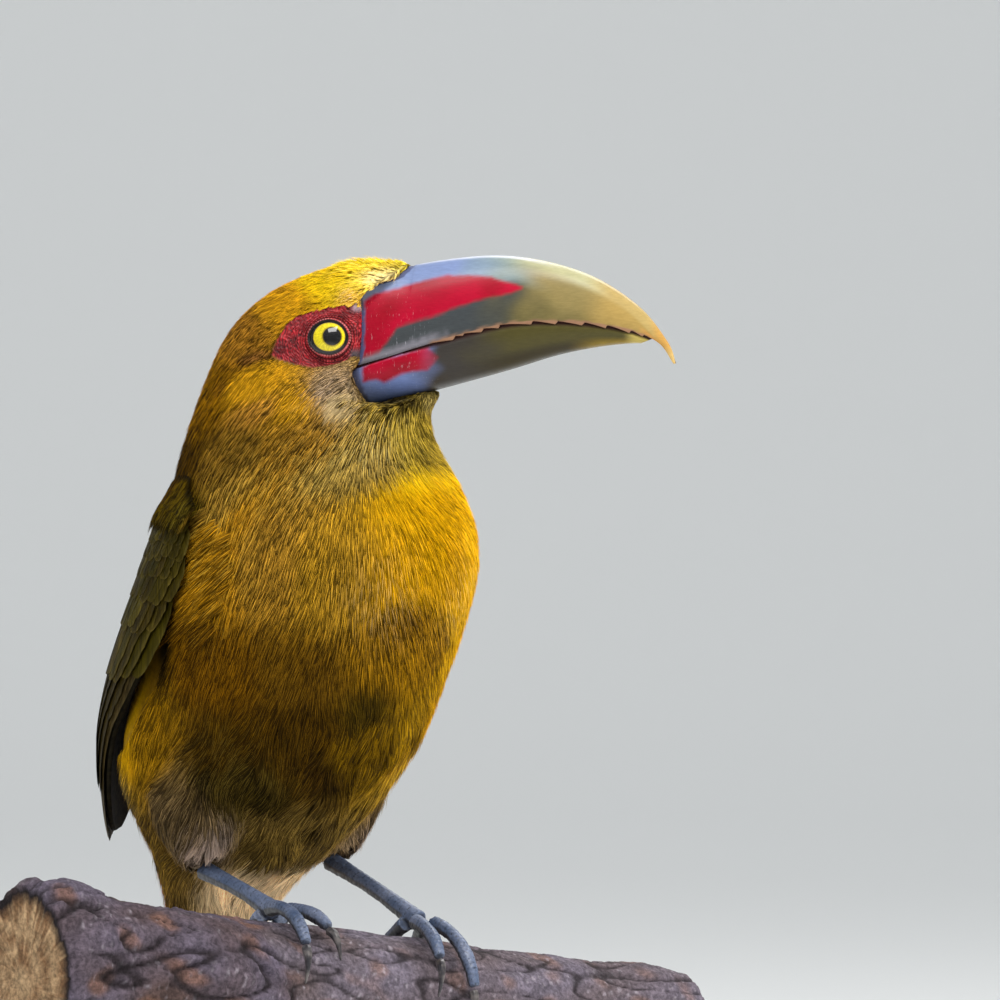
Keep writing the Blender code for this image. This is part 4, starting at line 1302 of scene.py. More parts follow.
# Where each half leaves the feathers, as (forward, up): edge of the mouth, then culmen or gonys.
UPPER_ROOT = ((11.3, 137.4), (24.7, 161.7))
LOWER_ROOT = ((11.1, 136.9), (14.5, 127.2))
# Where a tooth of the upper bill's edge ends and the next begins, forward in mm.
TOOTH_STEPS = (29.7, 35.6, 37.8, 42.4, 46.5, 54.5, 60.4, 66.9, 72.5, 78.3, 81.2)
TOOTH_DROP = 0.9
LOWER_TIP = 83.3
# Patches of the bill as seen from the side, (forward, up) in mm.
UPPER_RED = np.array(
    ((13.4, 152.6), (15.9, 154.5), (22.0, 156.2), (27.5, 158.2), (33.1, 159.2), (38.7, 159.4))
    + ((44.3, 158.9), (48.6, 157.3), (51.6, 156.1), (47.0, 154.4), (39.9, 152.8), (34.6, 151.1))
    + ((30.2, 149.2), (24.6, 147.7), (21.5, 146.6), (19.0, 142.6), (17.3, 140.5), (13.3, 139.3))
)
LOWER_RED = np.array(
    ((13.2, 136.9), (18.0, 138.6), (28.5, 141.5), (31.5, 139.2), (29.0, 136.3), (22.7, 135.1))
    + ((18.3, 132.9), (16.4, 133.7), (13.2, 133.1))
)
BILL_RED = srgb(171, 0, 40)
BILL_RED_DEEP = srgb(138, 0, 22)
BILL_BORDER = srgb(84, 92, 130)
BILL_LAVENDER = srgb(120, 136, 176)
BILL_TEAL = srgb(120, 140, 142)
BILL_SLATE = srgb(62, 66, 68)
BILL_HORN = srgb(136, 120, 74)
BILL_OLIVE = srgb(88, 82, 48)
BILL_TAN = srgb(172, 142, 78)
BILL_CULMEN = srgb(172, 168, 128)
# a pale line above the mouth: partly the bill's own pale edge, partly a painted highlight
BILL_LINE_AND_HIGHLIGHT = srgb(142, 138, 148)
# painted highlight along the top of the culmen
CULMEN_HIGHLIGHT = srgb(222, 226, 238)
BILL_ORANGE = srgb(206, 140, 70)
BILL_HOOK = srgb(184, 140, 70)
BILL_TIP = srgb(200, 168, 104)
TOOTH_BEIGE = srgb(150, 112, 86)
# blue root of the lower bill, painted brighter as light on its downward face
LOWER_BLUE_LIT = srgb(110, 128, 178)
LOWER_GREY = srgb(56, 52, 48)
LOWER_OLIVE = srgb(74, 68, 32)
LOWER_BROWN = srgb(52, 44, 16)
LOWER_GOLD = srgb(134, 112, 30)
LOWER_PALE = srgb(186, 166, 88)
# painted shade inside the closed mouth
MOUTH_SHADE = srgb(48, 22, 20)
SCUFF_PALE = srgb(208, 206, 214)


def bill_places(forward):
    """Places along BILL where the tomium is this far forward."""
    places = np.linspace(0, len(BILL) - 1, 1200)
    return np.interp(forward, spline(BILL, places)[:, 2], places)


def split_row(row):
    """Culmen, tomium, gonys and half width of a row of BILL."""
    return row[0:2], row[2:4], row[4:6], row[6]


def tooth_drop(forward):
    """How far the toothed edge hangs at a place: each tooth deepens forwards and then steps up."""
    steps = np.array(TOOTH_STEPS)
    tooth = np.clip(np.searchsorted(TOOTH_STEPS, forward) - 1, 0, len(steps) - 2)
    start, end = steps[tooth], steps[tooth + 1]
    share = np.clip((forward - start) / (end - start), 0, 1)
    size = 0.55 + 0.45 * smoothstep(1.5, 4.5, end - start)
    deep = 0.1 + TOOTH_DROP * share**1.2 * smoothstep(1.0, 0.93, share) * size
    toothed = (forward > steps[0]) & (forward < steps[-1])
    return np.where(toothed, deep, 0.1 * smoothstep(24, 30, forward))


def upper_flank(low, high, width):
    """Side, forward and up from the culmen down to the tomium."""
    turn = np.linspace(0, math.pi / 2, FLANK_POINTS)[:, None]
    place = high * np.cos(turn) + low * (1 - np.cos(turn))
    return np.concatenate([width * np.sin(turn) ** 0.85, place], 1)


def upper_outline(low, high, width, drop):
    """Half a ring of the upper bill: its flank, its hanging rim and its palate."""
    rim = min(RIM_THICKNESS, 0.35 * width)
    palate = min(PALATE_RISE, 0.3 * float(np.linalg.norm(high - low)))
    inner = width * 0.985 - rim
    forward, up = low
    rows = [(width * (1 - 0.015 * s), forward, up - drop * s) for s in (0.25, 0.5, 0.75, 0.93)]
    for turn in np.linspace(0, math.pi, 6):
        side = width * 0.985 - rim / 2 + rim / 2 * math.cos(turn)
        rows.append((side, forward, up - drop - 0.12 * math.sin(turn)))
    rows += [(inner, forward, up + palate * s) for s in (0.0, 0.6, 1.0)]
    rows += [(inner * s, forward, up + palate) for s in (0.66, 0.33, 0.0)]
    return np.concatenate([upper_flank(low, high, width), np.array(rows)])


def lower_flank(shoulder, bottom, width):
    turn = np.linspace(0, math.pi / 2, FLANK_POINTS)[:, None]
    place = shoulder + (bottom - shoulder) * (0.02 + 0.98 * np.sin(turn))
    return np.concatenate([width * np.maximum(np.cos(turn), 0) ** 0.7, place], 1)


def lower_outline(top, bottom, width):
    """Half a ring of the lower bill: its floor, a ledge that the teeth above hang over, and its
    flank."""
    depth = float(np.linalg.norm(top - bottom))
    down = (bottom - top) / max(depth, 1e-9)
    rim = min(RIM_THICKNESS, 0.35 * width)
    ledge = width - rim - 0.2
    tuck = min(PALATE_RISE, 0.12 * depth) - CLEARANCE
    floor = top - down * tuck
    step = float(np.interp(top[0], (24, 31), (0.16, 0.5)))
    start = top + down * min(step, 0.3 * depth)
    shoulder = top + down * min(2.6 * step, 0.4 * depth)
    rows = [(ledge * s, *floor) for s in (0.0, 0.33, 0.66, 0.93, 1.0)]
    rows += [(ledge, *(floor + (start - floor) * s)) for s in (0.15, 0.5, 1.0)]
    return np.concatenate([np.array(rows), lower_flank(shoulder, bottom, width - 0.4 * rim)])


def on_feather_edge(outline, tuck=0.0):
    """A half ring laid on the line where the feathers end."""
    laid = outline.copy()
    laid[:, 1] = bill_edge_forward(laid[:, 2]) + 0.2 - tuck
    laid[:, 0] *= 1 - 0.03 * tuck
    return laid


def bill_half_rings(upper):
    """The half rings of one half of the bill, from the hidden root to the tip."""
    culmen, tomium, gonys, width = split_row(spline(BILL, np.array([1.0]))[0])
    wide = width * ROOT_FLARE
    if upper:
        first = upper_outline(tomium, culmen + (0.3, 0), width, 0.0)
        root = upper_outline(*np.array(UPPER_ROOT), wide, 0.0)
        forwards = np.arange(tomium[0] + 0.4, BILL[-1, 2], 0.36)
    else:
        first = lower_outline(tomium, gonys, width)
        root = lower_outline(*np.array(LOWER_ROOT), wide)
        forwards = np.append(np.arange(tomium[0] + 0.4, LOWER_TIP, 0.5), LOWER_TIP)
    rings = [on_feather_edge(root, ROOT_TUCK), on_feather_edge(root, ROOT_TUCK / 2)]
    # from the line of the feathers the rings bend into the plain bill, at their own slope there
    ahead = bill_places(np.array([tomium[0] + 1.0]))
    culmen, tomium, gonys, width = split_row(spline(BILL, ahead)[0])
    if upper:
        second = upper_outline(tomium, culmen, width, 0.0)
    else:
        second = lower_outline(tomium, gonys, width)
    edge = on_feather_edge(root)
    span = first - edge
    bend = (second - first) * span[:, 1:2] - span
    rings += [edge + span * share + bend * share**2 * (share - 1) for share in np.linspace(0, 1, 25)]
    drops = tooth_drop(forwards)
    places = bill_places(forwards)
    if upper:
        tip = np.linspace(places[-1], len(BILL) - 1.0, 8)[1:]
        places, drops = np.append(places, tip), np.append(drops, np.zeros(len(tip)))
    for row, drop in zip(spline(BILL, places), drops):
        culmen, tomium, gonys, width = split_row(row)
        if upper:
            rings.append(upper_outline(tomium, culmen, width, drop))
        else:
            rings.append(lower_outline(tomium - (0, CLEARANCE), gonys, width))
    return np.array(rings)


def closed_loft(half_rings):
    """Points and triangles of a closed solid through mirrored half rings, which start and end on
    the middle line."""
    mirrored = half_rings[:, -2:0:-1] * (-1, 1, 1)
    rings = np.concatenate([half_rings, mirrored], 1)
    rows, count = rings.shape[:2]
    k = np.arange(count // 2)
    strip = np.stack([k, k + 1, count - k - 1, (count - k) % count], 1)
    quads = np.concatenate([ring_quads(rows, count), strip[:, ::-1], strip + (rows - 1) * count])
    triangles = np.concatenate([quads[:, [0, 1, 2]], quads[:, [0, 2, 3]]])
    same = (triangles[:, 0] == triangles[:, 1]) | (triangles[:, 1] == triangles[:, 2])
    same |= triangles[:, 0] == triangles[:, 2]
    return rings.reshape(-1, 3), triangles[~same]


def upper_bill_colour(spot, height):
    """Colour at rows of (side, forward, up). height is the rise above the rim as a share."""
    _, forward, up = spot.T
    wander, fine = waves(spot, 5.0, 41), waves(spot, 1.2, 42)
    upper = toward_colour(BILL_LAVENDER, BILL_TEAL, smoothstep(34, 50, forward + 2 * wander))
    lower = toward_colour(BILL_SLATE, BILL_OLIVE, smoothstep(38, 58, forward + 3 * wander))
    horn = painted(
        BILL_HORN,
        (BILL_OLIVE, smoothstep(0.42, 0.1, height + 0.08 * wander) * 0.5),
        (BILL_CULMEN, smoothstep(0.72, 0.97, height)),
    )
    # a painted highlight runs along the culmen's top edge
    highlight_ridge = smoothstep(0.955, 0.985, height) * smoothstep(24, 28, forward) * smoothstep(62, 44, forward)
    # pale line above the mouth, partly painted highlight
    line = smoothstep(0.14, 0.05, height + 0.01 * fine) * smoothstep(36, 27, forward + fine)
    from_red = polygon_distance(spot[:, 1:], UPPER_RED) + 0.08 * fine + 0.15 * wander
    red = toward_colour(BILL_RED, BILL_RED_DEEP, 0.35 + 0.3 * wander)
    past_edge = forward - bill_edge_forward(up)
    near_tip = smoothstep(79.5, 83, forward)
    return painted(
        lower,
        (upper, smoothstep(0.42, 0.66, height + 0.05 * wander)),
        (horn, smoothstep(45, 62, forward + 2.5 * wander + 4 * height)),
        (BILL_TAN, smoothstep(64, 76, forward + wander) * 0.8),
        (CULMEN_HIGHLIGHT, highlight_ridge * 0.75),
        (BILL_LINE_AND_HIGHLIGHT, line * 0.6),
        (red, smoothstep(0.55, -0.55, from_red)),
        (BILL_BORDER, smoothstep(0.8, 0.4, past_edge + 0.15 * fine)),
        (BILL_ORANGE, near_tip * smoothstep(0.75, 0.3, height) * 0.6),
        (BILL_HOOK, smoothstep(82, 86, forward)),
        (BILL_TIP, smoothstep(142.5, 139.5, up) * smoothstep(84, 86.5, forward)),
    )


def lower_bill_colour(spot, height):
    """Colour at rows of (side, forward, up). height is 1 at the mouth and 0 at the gonys."""
    _, forward, up = spot.T
    wander, fine = waves(spot, 4.0, 43), waves(spot, 1.1, 44)
    from_red = polygon_distance(spot[:, 1:], LOWER_RED) + 0.08 * fine + 0.15 * wander
    red = toward_colour(BILL_RED, BILL_RED_DEEP, 0.4 + 0.3 * wander)
    past_edge = forward - bill_edge_forward(up)
    olive = smoothstep(35, 50, forward + 2 * wander) * smoothstep(0.05, 0.45, height)
    # the blue root is painted brighter, as light on the downward face
    return painted(
        LOWER_BLUE_LIT,
        (LOWER_GREY, smoothstep(22, 32, forward + 2 * wander)),
        (LOWER_OLIVE, olive),
        (LOWER_BROWN, smoothstep(35, 50, forward) * smoothstep(0.45, 0.1, height)),
        (LOWER_GOLD, smoothstep(62, 72, forward) * smoothstep(0.5, 0.15, height)),
        (LOWER_PALE, smoothstep(76, 79.5, forward)),
        (red, smoothstep(0.6, -0.6, from_red) * (1 - 0.5 * smoothstep(26, 32, forward))),
        (BILL_BORDER, smoothstep(1.0, 0.5, past_edge + 0.2 * fine) * 0.8),
    )


def bill_material():
    made = Material("bill", Specular_IOR_Level=0.12, Coat_Weight=0.18, Coat_Roughness=0.22)
    tint = made.tint()
    spot = made.attribute("spot", "Vector")
    growth = made.stretched(spot, (0.6, 0.5, 2.6))
    scuffs = made.stretched(spot, (2.2, 4.2, 0.45))
    grain = made.noise(1.0, 5.0, 0.62, growth)
    scuff = made.noise(0.9, 4.0, 0.6, scuffs)
    base = made.times(tint, made.ramp(grain, (0.3, 0.9), (0.72, 1.06)))
    worn = made.attribute("worn")
    marks = made.math("MULTIPLY", made.ramp(scuff, (0.63, 0.0), (0.74, 0.5)), worn)
    made.set("Base Color", made.mix(marks, base, SCUFF_PALE))
    made.set("Roughness", made.ramp(grain, (0.3, 0.32), (0.7, 0.48)))
    made.set("Normal", made.bump(scuff, 0.05 * MM, 0.25, made.bump(grain, 0.06 * MM, 0.25)))
    return made.made


def bill_top(forward):
    """Height of the bill's outline over the root, where the feathers cut it off."""
    slope = BILL_EDGE[:FEATHER_TOP][::-1]
    return np.interp(forward, slope[:, 1], slope[:, 0])


def bill_levels(forward):
    """Heights of tomium, culmen and gonys at places on the bill, and its half width there."""
    rows = spline(BILL, bill_places(forward))
    culmen, tomium, gonys, _ = split_row(BILL[1])
    at_root = np.interp(forward, (11.2, tomium[0]), (137.0, tomium[1]))
    return (
        np.where(forward < tomium[0], at_root, rows[:, 3]),
        np.where(forward < culmen[0], bill_top(forward), rows[:, 1]),
        np.where(forward < gonys[0], np.interp(forward, *CHIN), rows[:, 5]),
        rows[:, 6],
    )


def inside_mouth(spot, width, tomium):
    """1 on the palate and on the floor of the mouth, which hardly show."""
    rim = np.minimum(RIM_THICKNESS, 0.35 * width)
    within = (np.abs(spot[:, 0]) < width - rim + 0.02) & (np.abs(spot[:, 2] - tomium) < 1.2)
    return within.astype(float)


def make_bill(material):
    for name, slot in (("bill_upper", "bill_horn"), ("bill_lower", "bill_horn_lower")):
        upper = name == "bill_upper"
        spot, faces = closed_loft(bill_half_rings(upper))
        side, forward, up = spot.T
        tomium, culmen, gonys, width = bill_levels(forward)
        if upper:
            height = np.clip((up - tomium) / np.maximum(culmen - tomium, 0.5), 0, 1)
            rim = smoothstep(0.15, -0.2, up - tomium + 0.1 * waves(spot, 1.5, 45))
            rim = rim * smoothstep(28.5, 30.5, forward) * smoothstep(84, 80, forward)
            colour = toward_colour(upper_bill_colour(spot, height), TOOTH_BEIGE, rim)
        else:
            height = np.clip((up - gonys) / np.maximum(tomium - gonys, 0.5), 0, 1)
            colour = lower_bill_colour(spot, height)
        # the inside of the mouth is painted dark as shade
        colour = toward_colour(colour, MOUTH_SHADE, inside_mouth(spot, width, tomium))
        dent = 0.10 * waves(spot, 7.0, 46) + 0.03 * waves(spot, 1.6, 47)
        shrink = 1 - smoothstep(0, 3, np.abs(side))[:, None] * 0.006 * (1 + dent)[:, None]
        world = np.array(ORIGIN) + ((spot * (shrink * (1, 0, 0) + (0, 1, 1))) @ HEAD_AXES) * MM
        piece = new_mesh_object(name + "_horn", world, faces, material)
        set_colours(piece.data, "tint", colour)
        set_vectors(piece.data, "spot", spot)
        worn = smoothstep(34, 24, forward) * (0.4 + 0.6 * smoothstep(155, 148, up))
        set_values(piece.data, "worn", worn)
        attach(piece, "root")
        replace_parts(piece, name)


# ---------------------------------------------------------------- eyes

PUPIL_EDGE, IRIS_EDGE = 19.5, 35.2  # degrees from the line of sight
IRIS_FLATTENING = 0.11
PUPIL_AHEAD = 0.85 / 6.6  # the pupil sits ahead of the middle of the iris
CORNEA_RISE = 0.25 * MM
EYE_SEGMENTS, EYE_ROWS = 96, 60
EYE_BLACK = srgb(4, 4, 5)
IRIS_INNER = srgb(150, 140, 120)
IRIS_YELLOW = srgb(228, 208, 14)
IRIS_RIM = srgb(196, 168, 24)


def eye_material():
    """Rings of colour round the line of sight. The ramps run from 0 to 90 degrees."""
    made = Material("eye", Roughness=0.5, Specular_IOR_Level=0.1)
    made.set("Coat Weight", 1.0)
    made.set("Coat IOR", 1.5)
    made.set("Coat Roughness", 0.02)

    def rings(angle, *stops):
        return made.ramp(angle, *((degrees / 90, colour) for degrees, colour in stops), smooth=False)

    ring = rings(
        made.math("DIVIDE", made.attribute("sight"), 90.0),
        (0.0, IRIS_YELLOW),
        (IRIS_EDGE - 3.0, IRIS_YELLOW),
        (IRIS_EDGE, IRIS_RIM),
        (IRIS_EDGE + 1.5, EYE_BLACK),
    )
    pupil = made.math("DIVIDE", made.attribute("pupil"), 90.0)
    shade = rings(pupil, (PUPIL_EDGE + 0.5, IRIS_INNER), (PUPIL_EDGE + 4.5, 1.0))
    hole = rings(pupil, (PUPIL_EDGE - 0.7, 1.0), (PUPIL_EDGE + 0.7, 0.0))
    spoke = made.stretched(made.attribute("spoke", "Vector"), (1, 1, 0.16))
    fibres = made.ramp(made.noise(9.0, 4.0, 0.6, spoke), (0.3, 0.72), (0.7, 1.12))
    made.set("Base Color", made.mix(hole, made.times(made.times(ring, fibres), shade), EYE_BLACK))
    return made.made


def eyeball_faces():
    """Triangles of a ball whose rows of points run from its front point to its back point."""
    k = np.arange(EYE_SEGMENTS)
    after = (k + 1) % EYE_SEGMENTS
    faces = [np.stack([np.zeros_like(k), 1 + k, 1 + after], 1)]
    for row in range(EYE_ROWS - 2):
        low, high = 1 + row * EYE_SEGMENTS, 1 + (row + 1) * EYE_SEGMENTS
        faces.append(np.stack([low + k, high + k, high + after], 1))
        faces.append(np.stack([low + k, high + after, low + after], 1))
    low = 1 + (EYE_ROWS - 2) * EYE_SEGMENTS
    faces.append(np.stack([low + k, np.full_like(k, low + EYE_SEGMENTS), low + after], 1))
    return np.concatenate(faces)


def make_eyes(material):
    turns = 2 * math.pi * np.arange(EYE_SEGMENTS) / EYE_SEGMENTS
    for name, sign in SIDES:
        sight, across, upward = eye_axes(sign)
        rim = np.cos(turns)[:, None] * across + np.sin(turns)[:, None] * upward
        rows = []
        for angle in np.linspace(0, math.pi, EYE_ROWS + 1):
            bulge = CORNEA_RISE * smoothstep(math.radians(30), 0, angle)
            rows.append((EYE_RADIUS + bulge) * (math.cos(angle) * sight + math.sin(angle) * rim))
        points = np.concatenate([rows[0][:1], *rows[1:-1], rows[-1][:1]])
        away = unit(points)
        seen = angle_between(away, sight)
        rise = (away @ upward) ** 2 / np.maximum(1 - (away @ sight) ** 2, 1e-9)
        around = unit(np.stack([away @ across, away @ upward], 1))
        centre = np.array(EYES[name])
        piece = new_mesh_object(f"eyeball_{name}", points + centre, eyeball_faces(), material)
        set_values(piece.data, "sight", seen * (1 + IRIS_FLATTENING * rise))
        set_values(piece.data, "pupil", angle_between(away, unit(sight + across * PUPIL_AHEAD)))
        set_vectors(piece.data, "spoke", np.column_stack([around, seen / 10]))
        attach(piece, "root")
        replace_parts(piece, f"eye_{name}")


# ---------------------------------------------------------------- wings and tail

# The body's rings from tail to forehead, in mm and degrees: dorsal point (forward, up), ventral
# point (forward, up), half width, heading and squareness, where 2 makes an ellipse.
BODY = np.array(
    (
        (-45.5, -15.0, -32.0, -13.5, 11.5, 0, 2.1),
        (-49.0, 4.0, -20.0, 4.0, 15.0, 0, 2.1),
        (-52.5, 20.0, -3.5, 15.0, 20.5, 0, 2.1),
        (-53.5, 33.0, 10.0, 27.0, 28.5, 0, 2.1),
        (-52.0, 48.0, 23.0, 42.0, 34.0, 0, 2.15),
        (-48.5, 61.0, 31.8, 58.0, 36.2, 0, 2.15),
        (-43.0, 75.0, 39.5, 74.0, 36.8, 0, 2.15),
        (-38.5, 88.0, 44.5, 88.0, 36.6, 0, 2.15),
        (-36.0, 100.0, 43.5, 99.0, 35.1, 2, 2.1),
        (-34.5, 111.0, 37.5, 109.5, 32.0, 10, 2.1),
    )
)
# Rows from the shoulder to the tip of the longest primary: place along BODY, angle from the back's
# midline to the wing's inner edge and to its outer edge, thickness and clearance in mm.
WING = np.array(
    (
        (8.45, 36, 60, 0.9, 0.35),
        (7.9, 22, 78, 2.0, 0.35),
        (7.0, 11, 82, 3.5, 0.35),
        (6.0, 8, 79, 4.6, 0.7),
        (5.0, 7, 74, 4.6, 1.7),
        (4.0, 8, 63, 4.0, 3.4),
        (3.0, 10, 52, 3.2, 5.4),
        (2.5, 12, 48, 2.4, 7.0),
        (2.1, 15, 46, 1.3, 8.2),
    )
)
WING_EDGE_THICKNESS = 0.9
BODY_RADIUS = 34 * MM  # the trunk's usual curvature under a feather
# Rows of coverts from the lowest: place, length, half width, number, and depth at the tip.
COVERT_ROWS = (
    (0.300, 0.200, 4.2, 13, 0.42),
    (0.245, 0.150, 3.6, 15, 0.34),
    (0.205, 0.125, 3.2, 16, 0.28),
    (0.168, 0.110, 2.9, 17, 0.24),
    (0.132, 0.100, 2.6, 17, 0.20),
    (0.098, 0.092, 2.4, 16, 0.17),
    (0.066, 0.084, 2.2, 14, 0.14),
    (0.036, 0.078, 2.0, 11, 0.11),
    (0.008, 0.070, 1.8, 8, 0.08),
)
WING_OLIVE = srgb(54, 47, 5)
WING_BROWN = srgb(48, 38, 6)
WING_DARK = srgb(68, 56, 30)
WING_EDGE = srgb(96, 82, 34)
PRIMARY_EDGE = srgb(74, 62, 34)
SHELL_ROWS, SHELL_COLUMNS = 60, 15

# Half the places across a feather, from its edge to its shaft.
HALF_VANE = (1.0, 0.86, 0.6, 0.3, 0.08, 0.035)
VANE_COLUMNS = np.array((*(-place for place in HALF_VANE), 0.0, *HALF_VANE[::-1]))
SHAFT_HEIGHT = 0.16 * MM


def body_points(place, angle):
    """World points of the trunk at places along BODY and angles in degrees from the back."""
    rows = spline(BODY, place)
    turn = np.radians(angle)
    square = 2 / rows[:, 6]
    across = np.sign(np.sin(turn)) * np.abs(np.sin(turn)) ** square
    along = np.sign(np.cos(turn)) * np.abs(np.cos(turn)) ** square
    middle_points = (rows[:, 0:2] + rows[:, 2:4]) / 2
    flat = middle_points + along[:, None] * (rows[:, 0:2] - rows[:, 2:4]) / 2
    profile = np.stack([flat[:, 0], across * rows[:, 4], flat[:, 1]], 1)
    return np.array(ORIGIN) + from_profile(profile, np.radians(rows[:, 5])) * MM


def body_frame(place, angle):
    """World points of the trunk and its outward normals."""
    step = 0.03
    along = body_points(place + step, angle) - body_points(place - step, angle)
    around = body_points(place, angle + 1) - body_points(place, angle - 1)
    return body_points(place, angle), unit(np.cross(along, around))


def wing_sheet(sign):
    """The outer face of a folded wing as a function of two places: 0 to 1 from the shoulder to the
    tip, and -1 to 1 from the inner to the outer edge. It gives points and outward normals."""

    def sheet(down, across):
        rows = spline(WING, down * (len(WING) - 1))
        angle = sign * ((rows[:, 1] + rows[:, 2]) / 2 + across * (rows[:, 2] - rows[:, 1]) / 2)
        swell = np.sqrt(np.maximum(0, 1 - across**2))
        height = (rows[:, 4] + rows[:, 3] * swell + WING_EDGE_THICKNESS) * MM
        points, normals = body_frame(rows[:, 0], angle)
        return points + normals * height[:, None], normals

    return sheet


class Vanes:
    """Gathers broad feathers into the arrays of one mesh."""

    def __init__(self, random):
        self.random = random
        self.parts = []

    def add(
        self, sheet, start, end, half_width, depths, rows, tint, edge, outer, point, bow=0.0, tilt=0.0
    ):
        """Adds a feather whose shaft runs from start to end on a sheet. depths are how far its
        root and its tip lie under the sheet, in metres. outer is the width of the vane's outer
        half as a share of the inner, and point the share of the length that the tip takes."""
        number = len(self.parts)
        along = np.linspace(0, 1, rows) ** 0.9
        down = start[0] + (end[0] - start[0]) * along
        over = start[1] + (end[1] - start[1]) * along + bow * np.sin(math.pi * along)
        middle_line, normals = sheet(down, over)
        ahead = unit(np.gradient(middle_line, axis=0))
        side = unit(np.cross(normals, ahead))
        run = np.concatenate([[0], np.cumsum(np.linalg.norm(np.diff(middle_line, axis=0), axis=1))])
        swell = smoothstep(-0.15, 0.3, along) * (0.94 + 0.06 * np.sin(2.2 * along))
        tip = np.clip((along - (1 - point)) / point, 0, 1)
        width = half_width * swell * np.sqrt(np.maximum(1 - tip**2.2, 0))
        column = VANE_COLUMNS[None]
        wide = width[:, None] * np.where(column > 0, outer, 1.0)
        ragged = 1 + 0.05 * self.random.normal(size=(rows, len(VANE_COLUMNS))) * (np.abs(column) > 0.9)
        parted = self.random.integers(rows // 3, rows - 2)
        ragged[parted, 0 if self.random.random() < 0.5 else -1] *= 0.74
        off = column * wide * ragged
        # the barbs sweep forward, so the outer columns lag or lead along the shaft
        sweep = np.minimum(np.abs(off) * 0.55, 0.5 * run[-1] * (1 - along[:, None]) + 0.1 * MM)
        depth = depths[0] + (depths[1] - depths[0]) * along[:, None]
        lift = -depth - off**2 / (2 * BODY_RADIUS) + tilt * off / max(half_width, 1e-6)
        lift += SHAFT_HEIGHT * (np.abs(column) < 0.02) * (1 - 0.7 * along[:, None])
        lift += 0.05 * MM * np.sin(3.1 * column + number)
        made = (
            middle_line[:, None]
            + side[:, None] * off[..., None]
            + normals[:, None] * lift[..., None]
            + ahead[:, None] * sweep[..., None]
        )
        colour = np.array(tint) * self.random.uniform(0.82, 1.2)
        shade = (0.62 + 0.38 * smoothstep(0.0, 0.5, along))[:, None] * np.ones_like(column)
        rim = np.maximum(smoothstep(0.72, 1.0, np.abs(column)), smoothstep(0.9, 1.0, along)[:, None])
        rim *= self.random.uniform(0.2, 0.7)
        colours = (colour * shade[..., None]) * (1 - rim[..., None]) + np.array(edge) * rim[..., None]
        colours = np.where((np.abs(column) < 0.05)[..., None], colours * 0.55, colours)
        barb = (run[:, None] + sweep - np.abs(off) * 1.1) / MM
        marks = np.stack([barb, off / MM, np.full_like(off, 7.3 * number)], -1)
        self.parts.append((made, colours, marks, along))

    def object(self, name, material):
        """Makes the mesh. Each feather has its own patch of the OFBake map."""
        columns = len(VANE_COLUMNS)
        across = (VANE_COLUMNS + 1) / 2
        grid = math.ceil(math.sqrt(len(self.parts)))
        gathered, total = [], 0
        for k, (made, colours, marks, along) in enumerate(self.parts):
            rows = len(along)
            row, column = np.meshgrid(np.arange(rows - 1), np.arange(columns - 1), indexing="ij")
            a = total + row * columns + column
            quads = np.stack([a, a + 1, a + columns + 1, a + columns], -1)
            u = (k % grid + 0.05 + 0.9 * across[None] + 0 * along[:, None]) / grid
            v = (k // grid + 0.05 + 0.9 * along[:, None] + 0 * across[None]) / grid
            arrays = (quads, made, colours, marks, np.stack([u, v], -1))
            gathered.append([array.reshape(-1, array.shape[-1]) for array in arrays])
            total += rows * columns
        faces, points, colours, marks, uvs = (np.concatenate(arrays) for arrays in zip(*gathered))
        made = new_mesh_object(name, points, faces, material)
        set_vectors(made.data, "barb", marks)
        set_bake_map(made.data, uvs)
        set_colours(made.data, "tint", colours)
        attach(made, "root")
        return made


def vane_material():
    made = Material("vane", Roughness=0.5, Specular_IOR_Level=0.04)
    tint = made.tint()
    marks = made.attribute("barb", "Vector")
    barbs = made.noise(1.0, 3.0, 0.55, made.stretched(marks, (2.6, 0.16, 1.0)))
    bands = made.noise(1.0, 2.0, 0.5, made.stretched(marks, (0.35, 0.12, 1.0)))
    shaded = made.times(tint, made.ramp(barbs, (0.3, 0.6), (0.7, 1.35)))
    made.set("Base Color", made.times(shaded, made.ramp(bands, (0.35, 0.75), (0.65, 1.2))))
    made.set("Normal", made.bump(barbs, 0.14 * MM, 0.7))
    return made.made


def wing_shade_material():
    made = Material("wing_under_shade", Roughness=0.9, Specular_IOR_Level=0.1)
    # the wing's inner mass is painted near black, as shade under the vanes
    dark = made.ramp(made.noise(700.0, 3.0), (0.3, srgb(22, 19, 12)), (0.7, srgb(40, 35, 22)))
    made.set("Base Color", dark)
    made.set("Normal", made.bump(made.noise(1500.0, 3.0), 0.2 * MM, 0.6))
    return made.made


